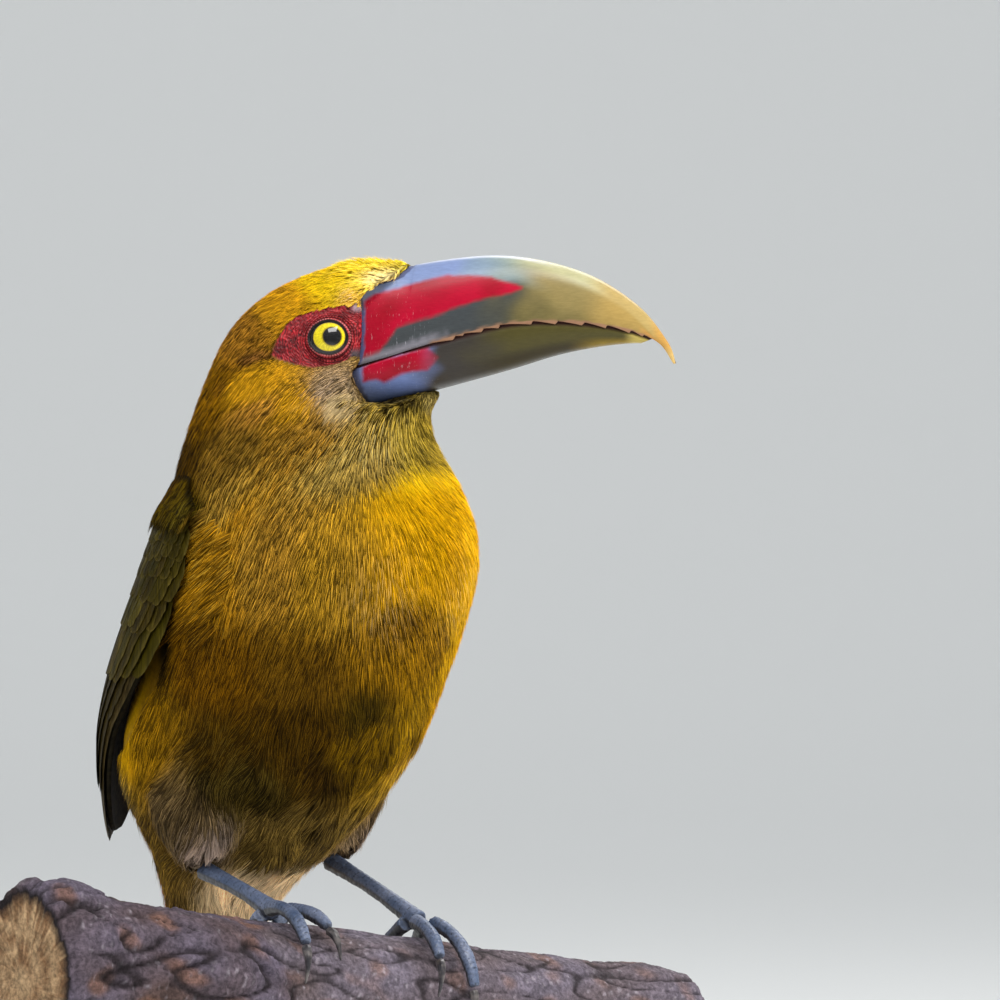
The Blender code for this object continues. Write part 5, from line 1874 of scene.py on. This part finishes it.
def make_wing(name, sign, material, under):
    random = np.random.default_rng(100 + (sign > 0))
    jitter = random.uniform
    sheet = wing_sheet(sign)
    make_wing_shell(name, sheet, under)
    vanes = Vanes(random)
    # primaries, from the innermost and shortest to the longest, which make the tip
    for share in np.arange(9) / 8:
        start = (0.40 - 0.05 * share, 0.42 + 0.48 * share)
        end = (0.80 + 0.19 * (1 - (share - 0.7) ** 2 * 1.6), -0.45 + 1.1 * share)
        wide = 4.8 * MM - 0.9 * MM * share
        depths = ((1.9 - 0.5 * share) * MM, (0.75 - 0.45 * share) * MM)
        shape = dict(outer=0.6, point=0.16, bow=0.05 * (1 - share), tilt=sign * 0.2 * MM)
        vanes.add(sheet, start, end, wide, depths, 44, WING_DARK, PRIMARY_EDGE, **shape)
    # secondaries, the innermost on top
    for share in np.arange(9) / 8:
        start = (0.33 + 0.02 * share, 0.70 - 1.3 * share)
        end = (0.74 - 0.05 * share + jitter(-0.008, 0.008), 0.62 - 1.25 * share)
        depths = ((1.3 - 0.3 * share) * MM, (0.55 - 0.35 * share) * MM)
        shape = dict(outer=0.6, point=0.16, bow=0.04, tilt=-sign * 0.22 * MM)
        vanes.add(sheet, start, end, 5.2 * MM, depths, 36, WING_BROWN, PRIMARY_EDGE, **shape)
    # tertials over the back
    for share in np.arange(4) / 3:
        start = (0.24 + 0.03 * share, -0.25 - 0.45 * share)
        end = (0.62 - 0.05 * share, -0.45 - 0.40 * share)
        depths = (0.9 * MM, (0.25 - 0.1 * share) * MM)
        shape = dict(outer=0.8, point=0.3, tilt=-sign * 0.15 * MM)
        vanes.add(sheet, start, end, 6.2 * MM, depths, 30, WING_OLIVE, WING_EDGE, **shape)
    shape = dict(outer=0.9, point=0.42, tilt=sign * 0.1 * MM)
    for row, (at, length, wide, number, deep) in enumerate(COVERT_ROWS):
        for k in range(number):
            spot = (k + 0.5 * (row % 2) + 0.25) / number
            over = 0.97 - 1.92 * spot + jitter(-0.015, 0.015)
            start = (at + jitter(-0.006, 0.006), over)
            end = (at + length * jitter(0.93, 1.07), over * 0.985 - 0.01)
            tint = WING_OLIVE + (WING_BROWN - WING_OLIVE) * jitter(0, 1)
            # some coverts are painted much lighter, as streaks of highlight on the wing
            tint = tint * (1.7 if jitter(0, 1) > 0.82 else 1.0)
            depths = ((deep + 0.6) * MM, deep * MM)
            vanes.add(sheet, start, end, wide * MM, depths, 14, tint, WING_EDGE, **shape)
    vanes.object(f"vanes_{name}", material)


def make_wing_shell(name, sheet, material):
    """The mass under the feathers, painted dark as the shade between them, closed round, 0.5 to 1.9 mm
    inside the wing's outer face.
    """
    down = np.linspace(0.02, 0.95, SHELL_ROWS)
    across = np.sin(np.linspace(-1, 1, SHELL_COLUMNS) * math.pi / 2) * 0.9
    down, across = (grid.ravel() for grid in np.meshgrid(down, across, indexing="ij"))
    across = across * np.sqrt(1 - np.clip((down - 0.7) / 0.26, 0, 1) ** 2)
    top, normals = sheet(down, across)
    thick = spline(WING, down * (len(WING) - 1))[:, 3]
    swell = np.sqrt(np.maximum(0, 1 - across**2))
    outer = top - normals * (np.minimum(1.9, 0.5 + 0.5 * thick * swell) * MM)[:, None]
    inner = top - normals * ((thick * swell + WING_EDGE_THICKNESS - 0.1) * MM)[:, None]
    shape = (SHELL_ROWS, SHELL_COLUMNS, 3)
    rings = np.concatenate([outer.reshape(shape), inner.reshape(shape)[:, ::-1]], 1)
    made = new_mesh_object(f"shell_{name}", *ring_solid(rings), material)
    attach(made, "root")
    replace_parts(made, name)


TAIL_LENGTH = 126.0
TAIL_LEAN = math.radians(17.0)
TAIL_ROOT = (56.0, -10.0)  # mm behind the perch's line and above its top
TAIL_ARCH = 0.18
# Along the tail: half width and thickness in mm.
TAIL = np.array(((9.5, 6.0), (14.5, 5.2), (18.5, 4.0), (18.5, 3.0), (13.0, 2.0), (5.0, 1.2)))
TAIL_SHARES = (0.0, 0.25, 0.55, 0.8, 0.93, 1.0)
TAIL_OLIVE = srgb(58, 56, 24)
TAIL_UNDER = srgb(62, 56, 38)


def tail_sheet(face):
    """The upper face (1) or under face (-1) of the closed tail, as a function of the share of the
    length and of metres to the left. It gives points and outward normals."""
    along = np.array((0, math.sin(TAIL_LEAN), -math.cos(TAIL_LEAN)))
    upper = np.array((0, math.cos(TAIL_LEAN), math.sin(TAIL_LEAN)))
    root = np.array((0, (TAIL_ROOT[0] + PERCH_Y) * MM, (PERCH_TOP + TAIL_ROOT[1]) * MM))

    def sheet(share, left):
        width = np.interp(share, TAIL_SHARES, TAIL[:, 0]) * MM
        thick = np.interp(share, TAIL_SHARES, TAIL[:, 1]) * MM
        across = np.clip(left / width, -1, 1)
        swell = np.sqrt(1 - across**2)
        height = face * thick / 2 * swell - TAIL_ARCH * width * across**2
        points = root + along * (share * TAIL_LENGTH * MM)[:, None] + upper * height[:, None]
        points[:, 0] += left
        slope = np.stack([0.36 * across, np.zeros_like(across), np.zeros_like(across)], 1)
        return points, unit(face * upper + slope * face)

    return sheet


def make_tail(material):
    """Ten graduated feathers: the middle pair is the longest and lies on top."""
    vanes = Vanes(np.random.default_rng(120))
    upper, under = tail_sheet(1.0), tail_sheet(-1.0)
    feathers = [(pair, sign) for pair in range(5) for sign in (-1, 1)]
    for pair, sign in feathers:
        start = (-0.02, sign * (1.0 + 1.2 * pair) * MM)
        end = (0.985 - 0.035 * pair - 0.012 * pair**2, sign * (3.4 + 2.0 * pair) * MM)
        wide = (5.6 - 0.2 * pair) * MM
        depths = ((0.5 + 0.35 * pair) * MM, (0.15 + 0.22 * pair + 0.05 * (sign > 0)) * MM)
        outer = 0.8 if sign > 0 else 1.2
        shape = dict(outer=outer, point=0.12, bow=sign * 2.6 * MM * pair / 4, tilt=-sign * 0.25 * MM)
        vanes.add(upper, start, end, wide, depths, 60, TAIL_OLIVE, TAIL_OLIVE * 1.2, **shape)
    for pair, sign in feathers:
        start = (0.0, sign * (1.0 + 1.2 * pair) * MM)
        end = (0.95 - 0.035 * pair - 0.012 * pair**2, sign * (3.0 + 2.0 * pair) * MM)
        wide = (5.4 - 0.2 * pair) * MM
        depths = ((0.9 - 0.1 * pair) * MM, (0.75 - 0.13 * pair) * MM)
        shape = dict(outer=1.0, point=0.12, bow=sign * 2.6 * MM * pair / 4, tilt=sign * 0.2 * MM)
        vanes.add(under, start, end, wide, depths, 60, TAIL_UNDER, TAIL_UNDER * 1.15, **shape)
    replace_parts(vanes.object("vanes_tail", material), "tail")


# ---------------------------------------------------------------- perch

# Knots of the bark: place across in mm, angle from the branch's top towards the back in degrees,
# half length in mm, half width in degrees, and height in mm.
KNOTS = (
    (-60, -70, 17, 42, 5.0),
    (-96, -15, 15, 48, 4.5),
    (-82, 130, 10, 35, 3.0),
    (64, 105, 12, 34, 3.5),
    (92, -40, 9, 40, 2.2),
)
BARK_STEP = 0.62  # mm between the points of the bark
PLATE_END = -36.0  # the thick old bark ends here in a broken edge
END_SHARES = (0.93, 0.8, 0.65, 0.5, 0.35, 0.2, 0.08)  # radii of the rings on a sawn end
# dark bark on a sawn end's rim, and painted shade in the bark's fissures and hollows
BARK_DARK_AND_SHADE = srgb(30, 24, 26)
BARK_BROWN = srgb(76, 60, 57)
BARK_GREY = srgb(90, 82, 95)
BARK_PALE = srgb(150, 142, 150)
BARK_RUST = srgb(116, 84, 70)
WOOD_PALE = srgb(176, 146, 110)
WOOD_RING = srgb(120, 88, 60)


def perch_radius(across):
    return PERCH_RADIUS - PERCH_TAPER * across


def perch_axis(across):
    """Height of the branch's middle line, in mm."""
    return PERCH_TOP + (PERCH_SLOPE - PERCH_TAPER) * across - perch_radius(across)


def around_perch(across, turn, radius):
    """World points round the branch's middle line."""
    up = perch_axis(across) + radius * np.cos(turn)
    return np.stack([across, PERCH_Y + radius * np.sin(turn), up], 1) * MM


def about_perch(points):
    """Per point: the angle about the branch's line from its top towards the back, the distance
    from that line in mm, and the unit direction away from it."""
    across, back, up = (points / MM).T
    away = np.stack([np.zeros_like(across), back - PERCH_Y, up - perch_axis(across)], 1)
    reach = np.linalg.norm(away, axis=1)
    return np.arctan2(away[:, 1], away[:, 2]), reach, away / reach[:, None]


def cad_bark(across, turn):
    """The branch's outline as built: how far it stands outside the branch's radius, in mm."""
    metres = across * MM
    ridges = np.sin(5 * turn + 60 * metres) * np.sin(3 * turn - 90 * metres + 1.3)
    swell = 0.5 + 0.5 * np.sin(190 * metres + 2.1 * np.sin(2 * turn))
    relief = -(0.45 * np.abs(ridges) + 0.35 * swell)
    for place, facing, length, width, height in KNOTS:
        away = np.mod(turn - math.radians(facing) + math.pi, 2 * math.pi) - math.pi
        from_knot = -(((across - place) / length) ** 2) - (away / math.radians(width)) ** 2
        relief += height * np.exp(from_knot)
    return relief


def bark_relief(across, turn):
    """How deep the bark lies under its outline in mm, and from 0 to 1 how near a place is to a
    fissure, and whether it lies on the thick old bark. It is smoother under the feet."""
    radius = perch_radius(across)
    ring = np.stack([across * 0.26, radius * np.sin(turn), radius * np.cos(turn)], 1)
    skewed = ring + 1.1 * np.stack([waves(ring, 6, 71), waves(ring, 5, 72), waves(ring, 5, 73)], 1)
    fissure = 1 - np.abs(waves(skewed, 4.6, 74)).clip(0, 1)
    cross_crack = 1 - np.abs(waves(skewed * (2.6, 0.7, 0.7), 5.0, 75)).clip(0, 1)
    layer = waves(skewed, 7.5, 76)
    fine = waves(ring * (1.6, 1, 1), 1.5, 77) + 0.6 * waves(ring * (2, 1, 1), 0.8, 78)
    plate = smoothstep(PLATE_END + 2.5, PLATE_END - 0.5, across + 4 * waves(ring, 6.0, 79))
    feet = smoothstep(46, 34, np.abs(across)) * smoothstep(115, 85, np.abs(np.degrees(turn)))
    depth = 0.75 * smoothstep(0.62, 1.0, fissure) + 0.35 * smoothstep(0.7, 1.0, cross_crack)
    depth = depth * (0.7 + 0.9 * plate) + 0.42 * smoothstep(-0.1, 0.15, layer) * (0.4 + plate)
    depth += 0.24 * fine * (0.5 + 0.7 * plate) + 0.75 * (1 - plate)
    return depth * (1 - 0.72 * feet), fissure, plate


def make_perch():
    steps = round((PERCH_ENDS[1] - PERCH_ENDS[0]) / BARK_STEP)
    segments = round(2 * math.pi * PERCH_RADIUS / BARK_STEP)
    places = np.linspace(*PERCH_ENDS, steps + 1)
    turns = 2 * math.pi * np.arange(segments) / segments
    across, turn = (grid.ravel() for grid in np.meshgrid(places, turns, indexing="ij"))
    depth, fissure, plate = bark_relief(across, turn)
    from_ends = (across - PERCH_ENDS[0], PERCH_ENDS[1] - across)
    rim = 1.2 * np.maximum(*(smoothstep(2.5, 0, away) for away in from_ends))
    radius = perch_radius(across) + cad_bark(across, turn) - np.maximum(depth, 0.02) - rim
    rings = around_perch(across, turn, radius).reshape(steps + 1, segments, 3)
    colours = bark_colour(across, turn, fissure, plate, depth).reshape(steps + 1, segments, 3)
    starts, start_colours = end_faces(places[0], turns, radius[:segments], 1)
    ends, end_colours = end_faces(places[-1], turns, radius[-segments:], -1)
    points, faces = ring_solid(np.concatenate([starts[::-1], rings, ends]))
    perch = new_mesh_object("bark", points, faces, bark_material())
    colours = np.concatenate([start_colours[::-1], colours, end_colours]).reshape(-1, 3)
    heart = [start_colours[-1].mean(0), end_colours[-1].mean(0)]
    set_colours(perch.data, "tint", np.concatenate([colours, heart]))
    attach(perch, "root")
    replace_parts(perch, "perch")


def end_faces(place, turns, radius, inward):
    """Rings of a sawn end, with the wood's yearly rings as colour."""
    rings, colours = [], []
    across = np.full(len(turns), place)
    for share in END_SHARES:
        reach = radius * share
        spot = around_perch(across, turns, reach)
        rough = 0.12 * waves(spot, 1.2 * MM, 81)
        rings.append(around_perch(across + inward * (0.25 + rough), turns, reach))
        year = 0.5 + 0.5 * np.sin(reach * 3.4 + 0.8 * waves(spot, 9 * MM, 82))
        wood = toward_colour(WOOD_PALE, WOOD_RING, year)
        colours.append(wood + (BARK_DARK_AND_SHADE - wood) * smoothstep(0.84, 0.9, share))
    return np.array(rings), np.array(colours)


def bark_colour(across, turn, fissure, plate, depth):
    spot = around_perch(across, turn, perch_radius(across)) / MM
    patch = waves(spot * (0.5, 1, 1), 7.0, 83)
    fleck = waves(spot, 1.1, 84)
    rust = waves(spot * (0.6, 1, 1), 5.0, 85)
    return painted(
        BARK_BROWN,
        (BARK_GREY, 0.55 + 0.4 * patch),
        (BARK_RUST, smoothstep(0.4, 1.4, rust) * 0.7),
        (BARK_PALE, smoothstep(0.9, 1.9, fleck) * 0.6 + 0.15 * (1 - plate)),
        # painted shade in the fissures and in the deepest bark
        (BARK_DARK_AND_SHADE, smoothstep(0.7, 1.0, fissure) * 0.85),
        (BARK_DARK_AND_SHADE, smoothstep(0.7, 1.6, depth - 0.7 * (1 - plate)) * 0.5),
    )


def bark_material():
    made = Material("bark", Roughness=0.88, Specular_IOR_Level=0.25)
    tint = made.tint()
    grain = made.noise(900.0, 6.0, 0.68)
    crumbs = made.noise(330.0, 4.0, 0.6)
    shaded = made.times(tint, made.ramp(grain, (0.3, 0.55), (0.7, 1.35)))
    made.set("Base Color", made.times(shaded, made.ramp(crumbs, (0.35, 0.75), (0.65, 1.15))))
    made.set("Normal", made.bump(grain, 0.5 * MM, 0.8, made.bump(crumbs, 0.8 * MM, 0.6)))
    return made.made


# ---------------------------------------------------------------- feet

FOOT_VOXEL, CLAW_VOXEL = 0.3 * MM, 0.14 * MM
TARSUS_SCUTES, TOE_SCUTES = 2.3, 1.55  # mm from plate to plate
SCUTE_HEIGHT = 0.2 * MM
SHIN = unit(np.array([0.0, 0.92, 0.40]))  # along the tarsus, from plate to plate
SHIN_FRONT = np.array([0.0, -0.55, 0.83])  # out of its front
LEG_BLUE = srgb(68, 82, 108)
LEG_PALE = srgb(112, 120, 142)
LEG_GROOVE = srgb(26, 30, 38)
LEG_SOLE = srgb(62, 62, 68)
CLAW_DARK = srgb(42, 40, 44)
CLAW_PALE = srgb(96, 90, 88)


def make_foot(name, material):
    bones = [f"tarsus_{name}"] + [f"toe_{name}_{number}" for number in (1, 2, 3, 4)]
    foot = remeshed(f"foot_{name}", node_soup(bones), FOOT_VOXEL, smoothing=9)
    mesh = foot.data
    points, normals = points_of(mesh), normals_of(mesh)
    trees = [node_tree((bone,)) for bone in bones]
    distance = np.array([[tree.find_nearest(p)[3] for tree in trees] for p in points.tolist()])
    on_tarsus = distance[:, 1:].min(1) - distance[:, 0] > 0.1 * MM
    turn, reach, outward = about_perch(points)
    run = np.where(on_tarsus, points @ SHIN / MM, turn * reach)
    pitch = np.where(on_tarsus, TARSUS_SCUTES, TOE_SCUTES)
    phase = (run / pitch + 0.12 * waves(points, 3 * MM, 61)) % 1.0
    plate = smoothstep(0.0, 0.14, phase) * (0.55 + 0.45 * (1 - phase))
    face = np.where(on_tarsus, normals @ SHIN_FRONT, (normals * outward).sum(1))
    dorsal = smoothstep(-0.15, 0.35, face)
    grain = 0.5 + 0.5 * waves(points, 0.7 * MM, 62)
    relief = dorsal * (plate - 0.75) * SCUTE_HEIGHT + (1 - dorsal) * (grain - 0.6) * 0.12 * MM
    move_points(mesh, points + normals * relief[:, None])
    scaly = painted(
        LEG_BLUE,
        (LEG_PALE, 0.35 + 0.3 * waves(points, 4 * MM, 63)),
        (LEG_GROOVE, (1 - smoothstep(0.0, 0.3, plate)) * dorsal),
    )
    sole = LEG_SOLE * (0.75 + 0.35 * grain)[:, None]
    set_colours(mesh, "tint", toward_colour(sole, scaly, dorsal))
    mesh.materials.append(material)
    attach(foot, "root")
    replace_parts(foot, *bones)


def make_claws(name, material):
    nodes = [f"claw_{name}_{number}" for number in (1, 2, 3, 4)]
    claws = remeshed(f"claws_{name}", node_soup(nodes), CLAW_VOXEL, smoothing=10)
    claws.data.materials.append(material)
    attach(claws, "root")
    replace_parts(claws, *nodes)


def leg_material():
    made = Material("leg_scales", Specular_IOR_Level=0.5, Roughness=0.42)
    tint = made.tint()
    grain = made.noise(1500.0, 4.0, 0.6)
    made.set("Base Color", made.times(tint, made.ramp(grain, (0.3, 0.72), (0.7, 1.2))))
    made.set("Normal", made.bump(grain, 0.08 * MM, 0.5))
    return made.made


def claw_material():
    made = Material("claw_horn", Specular_IOR_Level=0.5, Roughness=0.3)
    grain = made.noise(500.0, 3.0)
    made.set("Base Color", made.ramp(grain, (0.35, CLAW_DARK), (0.7, CLAW_PALE)))
    made.set("Normal", made.bump(grain, 0.08 * MM, 0.3))
    return made.made


# ---------------------------------------------------------------- stand

TURNED_SEGMENTS = 160
PLATE_TOP_RINGS = (30.0, 12.0)  # mm: rings on the flat top of the base
COLLAR_BORE = 4.85  # mm


def stand_materials():
    wood = Material("stand_wood", Specular_IOR_Level=0.5, Coat_Weight=0.35, Coat_Roughness=0.18)
    spot = wood.node("Mapping", Vector=wood.place(), Scale=(3.0, 38.0, 38.0))
    grain = wood.noise(2.2, 5.0, 0.6, spot)
    pores = wood.noise(24.0, 3.0, 0.6, spot)
    base = wood.ramp(grain, (0.3, srgb(58, 34, 20)), (0.5, srgb(92, 56, 34)), (0.7, srgb(116, 74, 46)))
    wood.set("Base Color", wood.times(base, wood.ramp(pores, (0.35, 0.7), (0.6, 1.1))))
    wood.set("Roughness", wood.ramp(pores, (0.3, 0.5), (0.7, 0.34)))
    wood.set("Normal", wood.bump(pores, 0.12 * MM, 0.25))
    steel = Material("stand_steel", Metallic=1.0)
    lines = steel.node("Mapping", Vector=steel.place(), Scale=(40.0, 40.0, 1600.0))
    brushed = steel.noise(3.0, 4.0, 0.6, lines)
    steel.set("Base Color", steel.ramp(brushed, (0.3, (0.46, 0.46, 0.47)), (0.7, (0.62, 0.62, 0.62))))
    steel.set("Roughness", steel.ramp(brushed, (0.3, 0.24), (0.7, 0.36)))
    steel.set("Normal", steel.bump(brushed, 0.02 * MM, 0.3))
    return wood.made, steel.made


def rounded_edge(radius, height, corner):
    """Rows of a quarter round between a flank and a top face."""
    turns = np.linspace(0, math.pi / 2, 7)
    radius, height = radius - corner, height - corner
    return [(radius + corner * math.cos(t), height + corner * math.sin(t)) for t in turns]


def measured(node):
    """Radius, lowest and highest point of a round upright node, in mm."""
    low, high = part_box(node)
    return (high.x - low.x) / 2 / MM, low.z / MM, high.z / MM


def make_stand():
    wood, steel = stand_materials()
    radius, _, top = measured("stand_base")
    base = [(radius - 1.2, 0.0), (radius - 0.6, 0.1), (radius - 0.1, 0.7), (radius, 1.4)]
    base += [(radius, 4.0), (radius - 0.7, 4.5), (radius - 0.7, 5.0), (radius, 5.5)]
    base += rounded_edge(radius, top, 3.0) + [(ring, top) for ring in PLATE_TOP_RINGS]
    add_turned("stand_base_wood", base, 0.0, wood, "stand_base")
    radius, foot, top = measured("stand_rod")
    rod = [(radius - 0.5, foot), (radius, foot + 0.5)]
    rod += [(radius, height) for height in np.linspace(foot + 2, top - 2, 12)]
    rod += [(radius, top - 0.5), (radius - 0.5, top)]
    add_turned("stand_rod_steel", rod, PERCH_Y, steel, "stand_rod")
    radius, foot, top = measured("stand_collar")
    collar = [(radius - 0.3, foot), (radius, foot + 0.3), *rounded_edge(radius, top, 1.0)]
    collar += [(COLLAR_BORE + 0.35, top), (COLLAR_BORE, top - 0.3)]
    add_turned("stand_collar_steel", collar, PERCH_Y, steel, "stand_collar")


def add_turned(name, profile, centre_y, material, node):
    """A closed solid of revolution from rows of (radius, height) in mm, in place of a node."""
    points, faces = ring_solid(revolved(profile, centre_y, TURNED_SEGMENTS) * MM)
    made = new_mesh_object(name, points, faces, material)
    made.data.set_sharp_from_angle(angle=math.radians(50))
    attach(made, "root")
    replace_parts(made, node)


# ---------------------------------------------------------------- stage, lights and camera

FLOOR_RADIUS, WALL_CURVE, WALL_TOP = 2.6, 2.0, 3.2  # metres
STAGE_SEGMENTS = 96
STAGE_DROP = 0.0002  # the floor lies this much under the base, in metres
VIEW_AZIMUTH = math.radians(-43.0)
VIEW_ELEVATION = math.radians(0.8)
VIEW_SPAN = 0.243  # width of the picture at the bird, in metres
AIM_AHEAD, AIM_RIGHT, AIM_UP = 18.9, 33.1, 104.5  # mm from the bird's origin to the picture's middle
LENS, SENSOR = 200.0, 36.0

# Each lamp: its place and the point it shines at, in metres towards the camera, to its right and up
# from the bird's middle, its width and height, power and colour, and whether shiny things mirror it.
MIDDLE = (0.0, 0.0, 0.0)
LAMPS = (
    ("key", (0.55, 0.14, 1.05), MIDDLE, (0.8, 0.42), 12.5, (1.0, 0.99, 0.97), True),
    ("side", (0.2, 1.15, 0.35), MIDDLE, (0.6, 0.9), 12.0, (1.0, 0.98, 0.94), False),
    ("fill", (1.1, -0.9, 0.25), MIDDLE, (0.9, 0.9), 5.5, (0.96, 0.98, 1.0), False),
    ("back", (-0.9, 0.35, 0.9), MIDDLE, (0.6, 0.6), 6.0, (1, 1, 1), True),
    ("wash", (-2.0, 0.0, 2.4), (-4.4, 0.0, 0.2), (1.6, 1.0), 16.0, (1, 1, 1), True),
)


def make_stage():
    """A pale floor that curves up into a wide wall all round."""
    profile = [(0.0, 0.0), (FLOOR_RADIUS, 0.0)]
    for turn in np.linspace(0.15, math.pi / 2, 12):
        radius = FLOOR_RADIUS + WALL_CURVE * math.sin(turn)
        profile.append((radius, WALL_CURVE - WALL_CURVE * math.cos(turn)))
    profile.append((FLOOR_RADIUS + WALL_CURVE, WALL_TOP))
    rings = revolved(profile, 0.0, STAGE_SEGMENTS) - (0, 0, STAGE_DROP)
    made = Material("stage", Roughness=0.8, Specular_IOR_Level=0.2)
    made.set("Base Color", (0.82, 0.83, 0.82))
    faces = ring_quads(len(profile), STAGE_SEGMENTS)
    new_mesh_object("stage", rings.reshape(-1, 3), faces, made.made)


def make_camera():
    """The photograph's camera. It gives the direction towards it, the one to its right, and the
    point that it looks at."""
    flat = math.cos(VIEW_ELEVATION)
    sideways, ahead = math.sin(VIEW_AZIMUTH) * flat, -math.cos(VIEW_AZIMUTH) * flat
    toward = Vector((sideways, ahead, math.sin(VIEW_ELEVATION)))
    right = Vector((math.cos(VIEW_AZIMUTH), math.sin(VIEW_AZIMUTH), 0))
    target = Vector((0, ORIGIN.y - AIM_AHEAD * MM, ORIGIN.z)) + right * AIM_RIGHT * MM + UP * AIM_UP * MM
    data = bpy.data.cameras.new("camera")
    data.lens = LENS
    data.sensor_width = SENSOR
    data.clip_start, data.clip_end = 0.01, 50.0
    data.dof.use_dof = False
    camera = add_object("camera", data)
    camera.location = target + toward * (VIEW_SPAN / 2 / (SENSOR / 2 / LENS))
    camera.rotation_mode = "QUATERNION"
    camera.rotation_quaternion = toward.to_track_quat("Z", "Y")
    bpy.context.scene.camera = camera
    return toward, right, target


def make_lights(toward, right, target):
    """The lamps, which are rectangles, and a dim sky."""

    def studio_point(ahead, aside, up):
        return target + toward * ahead + right * aside + UP * up

    for name, place, aim, size, power, colour, glossy in LAMPS:
        light = bpy.data.lights.new(name, "AREA")
        light.shape = "RECTANGLE"
        light.size, light.size_y = size
        light.energy = power
        light.color = colour
        made = add_object(name, light)
        made.location = studio_point(*place)
        made.rotation_euler = (studio_point(*aim) - made.location).to_track_quat("-Z", "Y").to_euler()
        made.visible_glossy = glossy
    world = bpy.data.worlds.new("studio")
    world.use_nodes = True
    background = world.node_tree.nodes["Background"]
    background.inputs["Color"].default_value = (0.92, 0.95, 1.0, 1.0)
    background.inputs["Strength"].default_value = 0.5
    bpy.context.scene.world = world


def main():
    skin = make_skin()
    grow_coat(skin, coat_material())
    make_bill(bill_material())
    make_eyes(eye_material())
    vanes, under = vane_material(), wing_shade_material()
    for name, sign in SIDES:
        make_wing(f"wing_{name}", sign, vanes, under)
    make_tail(vanes)
    legs, horn = leg_material(), claw_material()
    for name, _ in SIDES:
        make_foot(name, legs)
        make_claws(name, horn)
    make_perch()
    make_stand()
    make_stage()
    make_lights(*make_camera())
    bpy.context.scene.view_settings.view_transform = "Standard"


main()
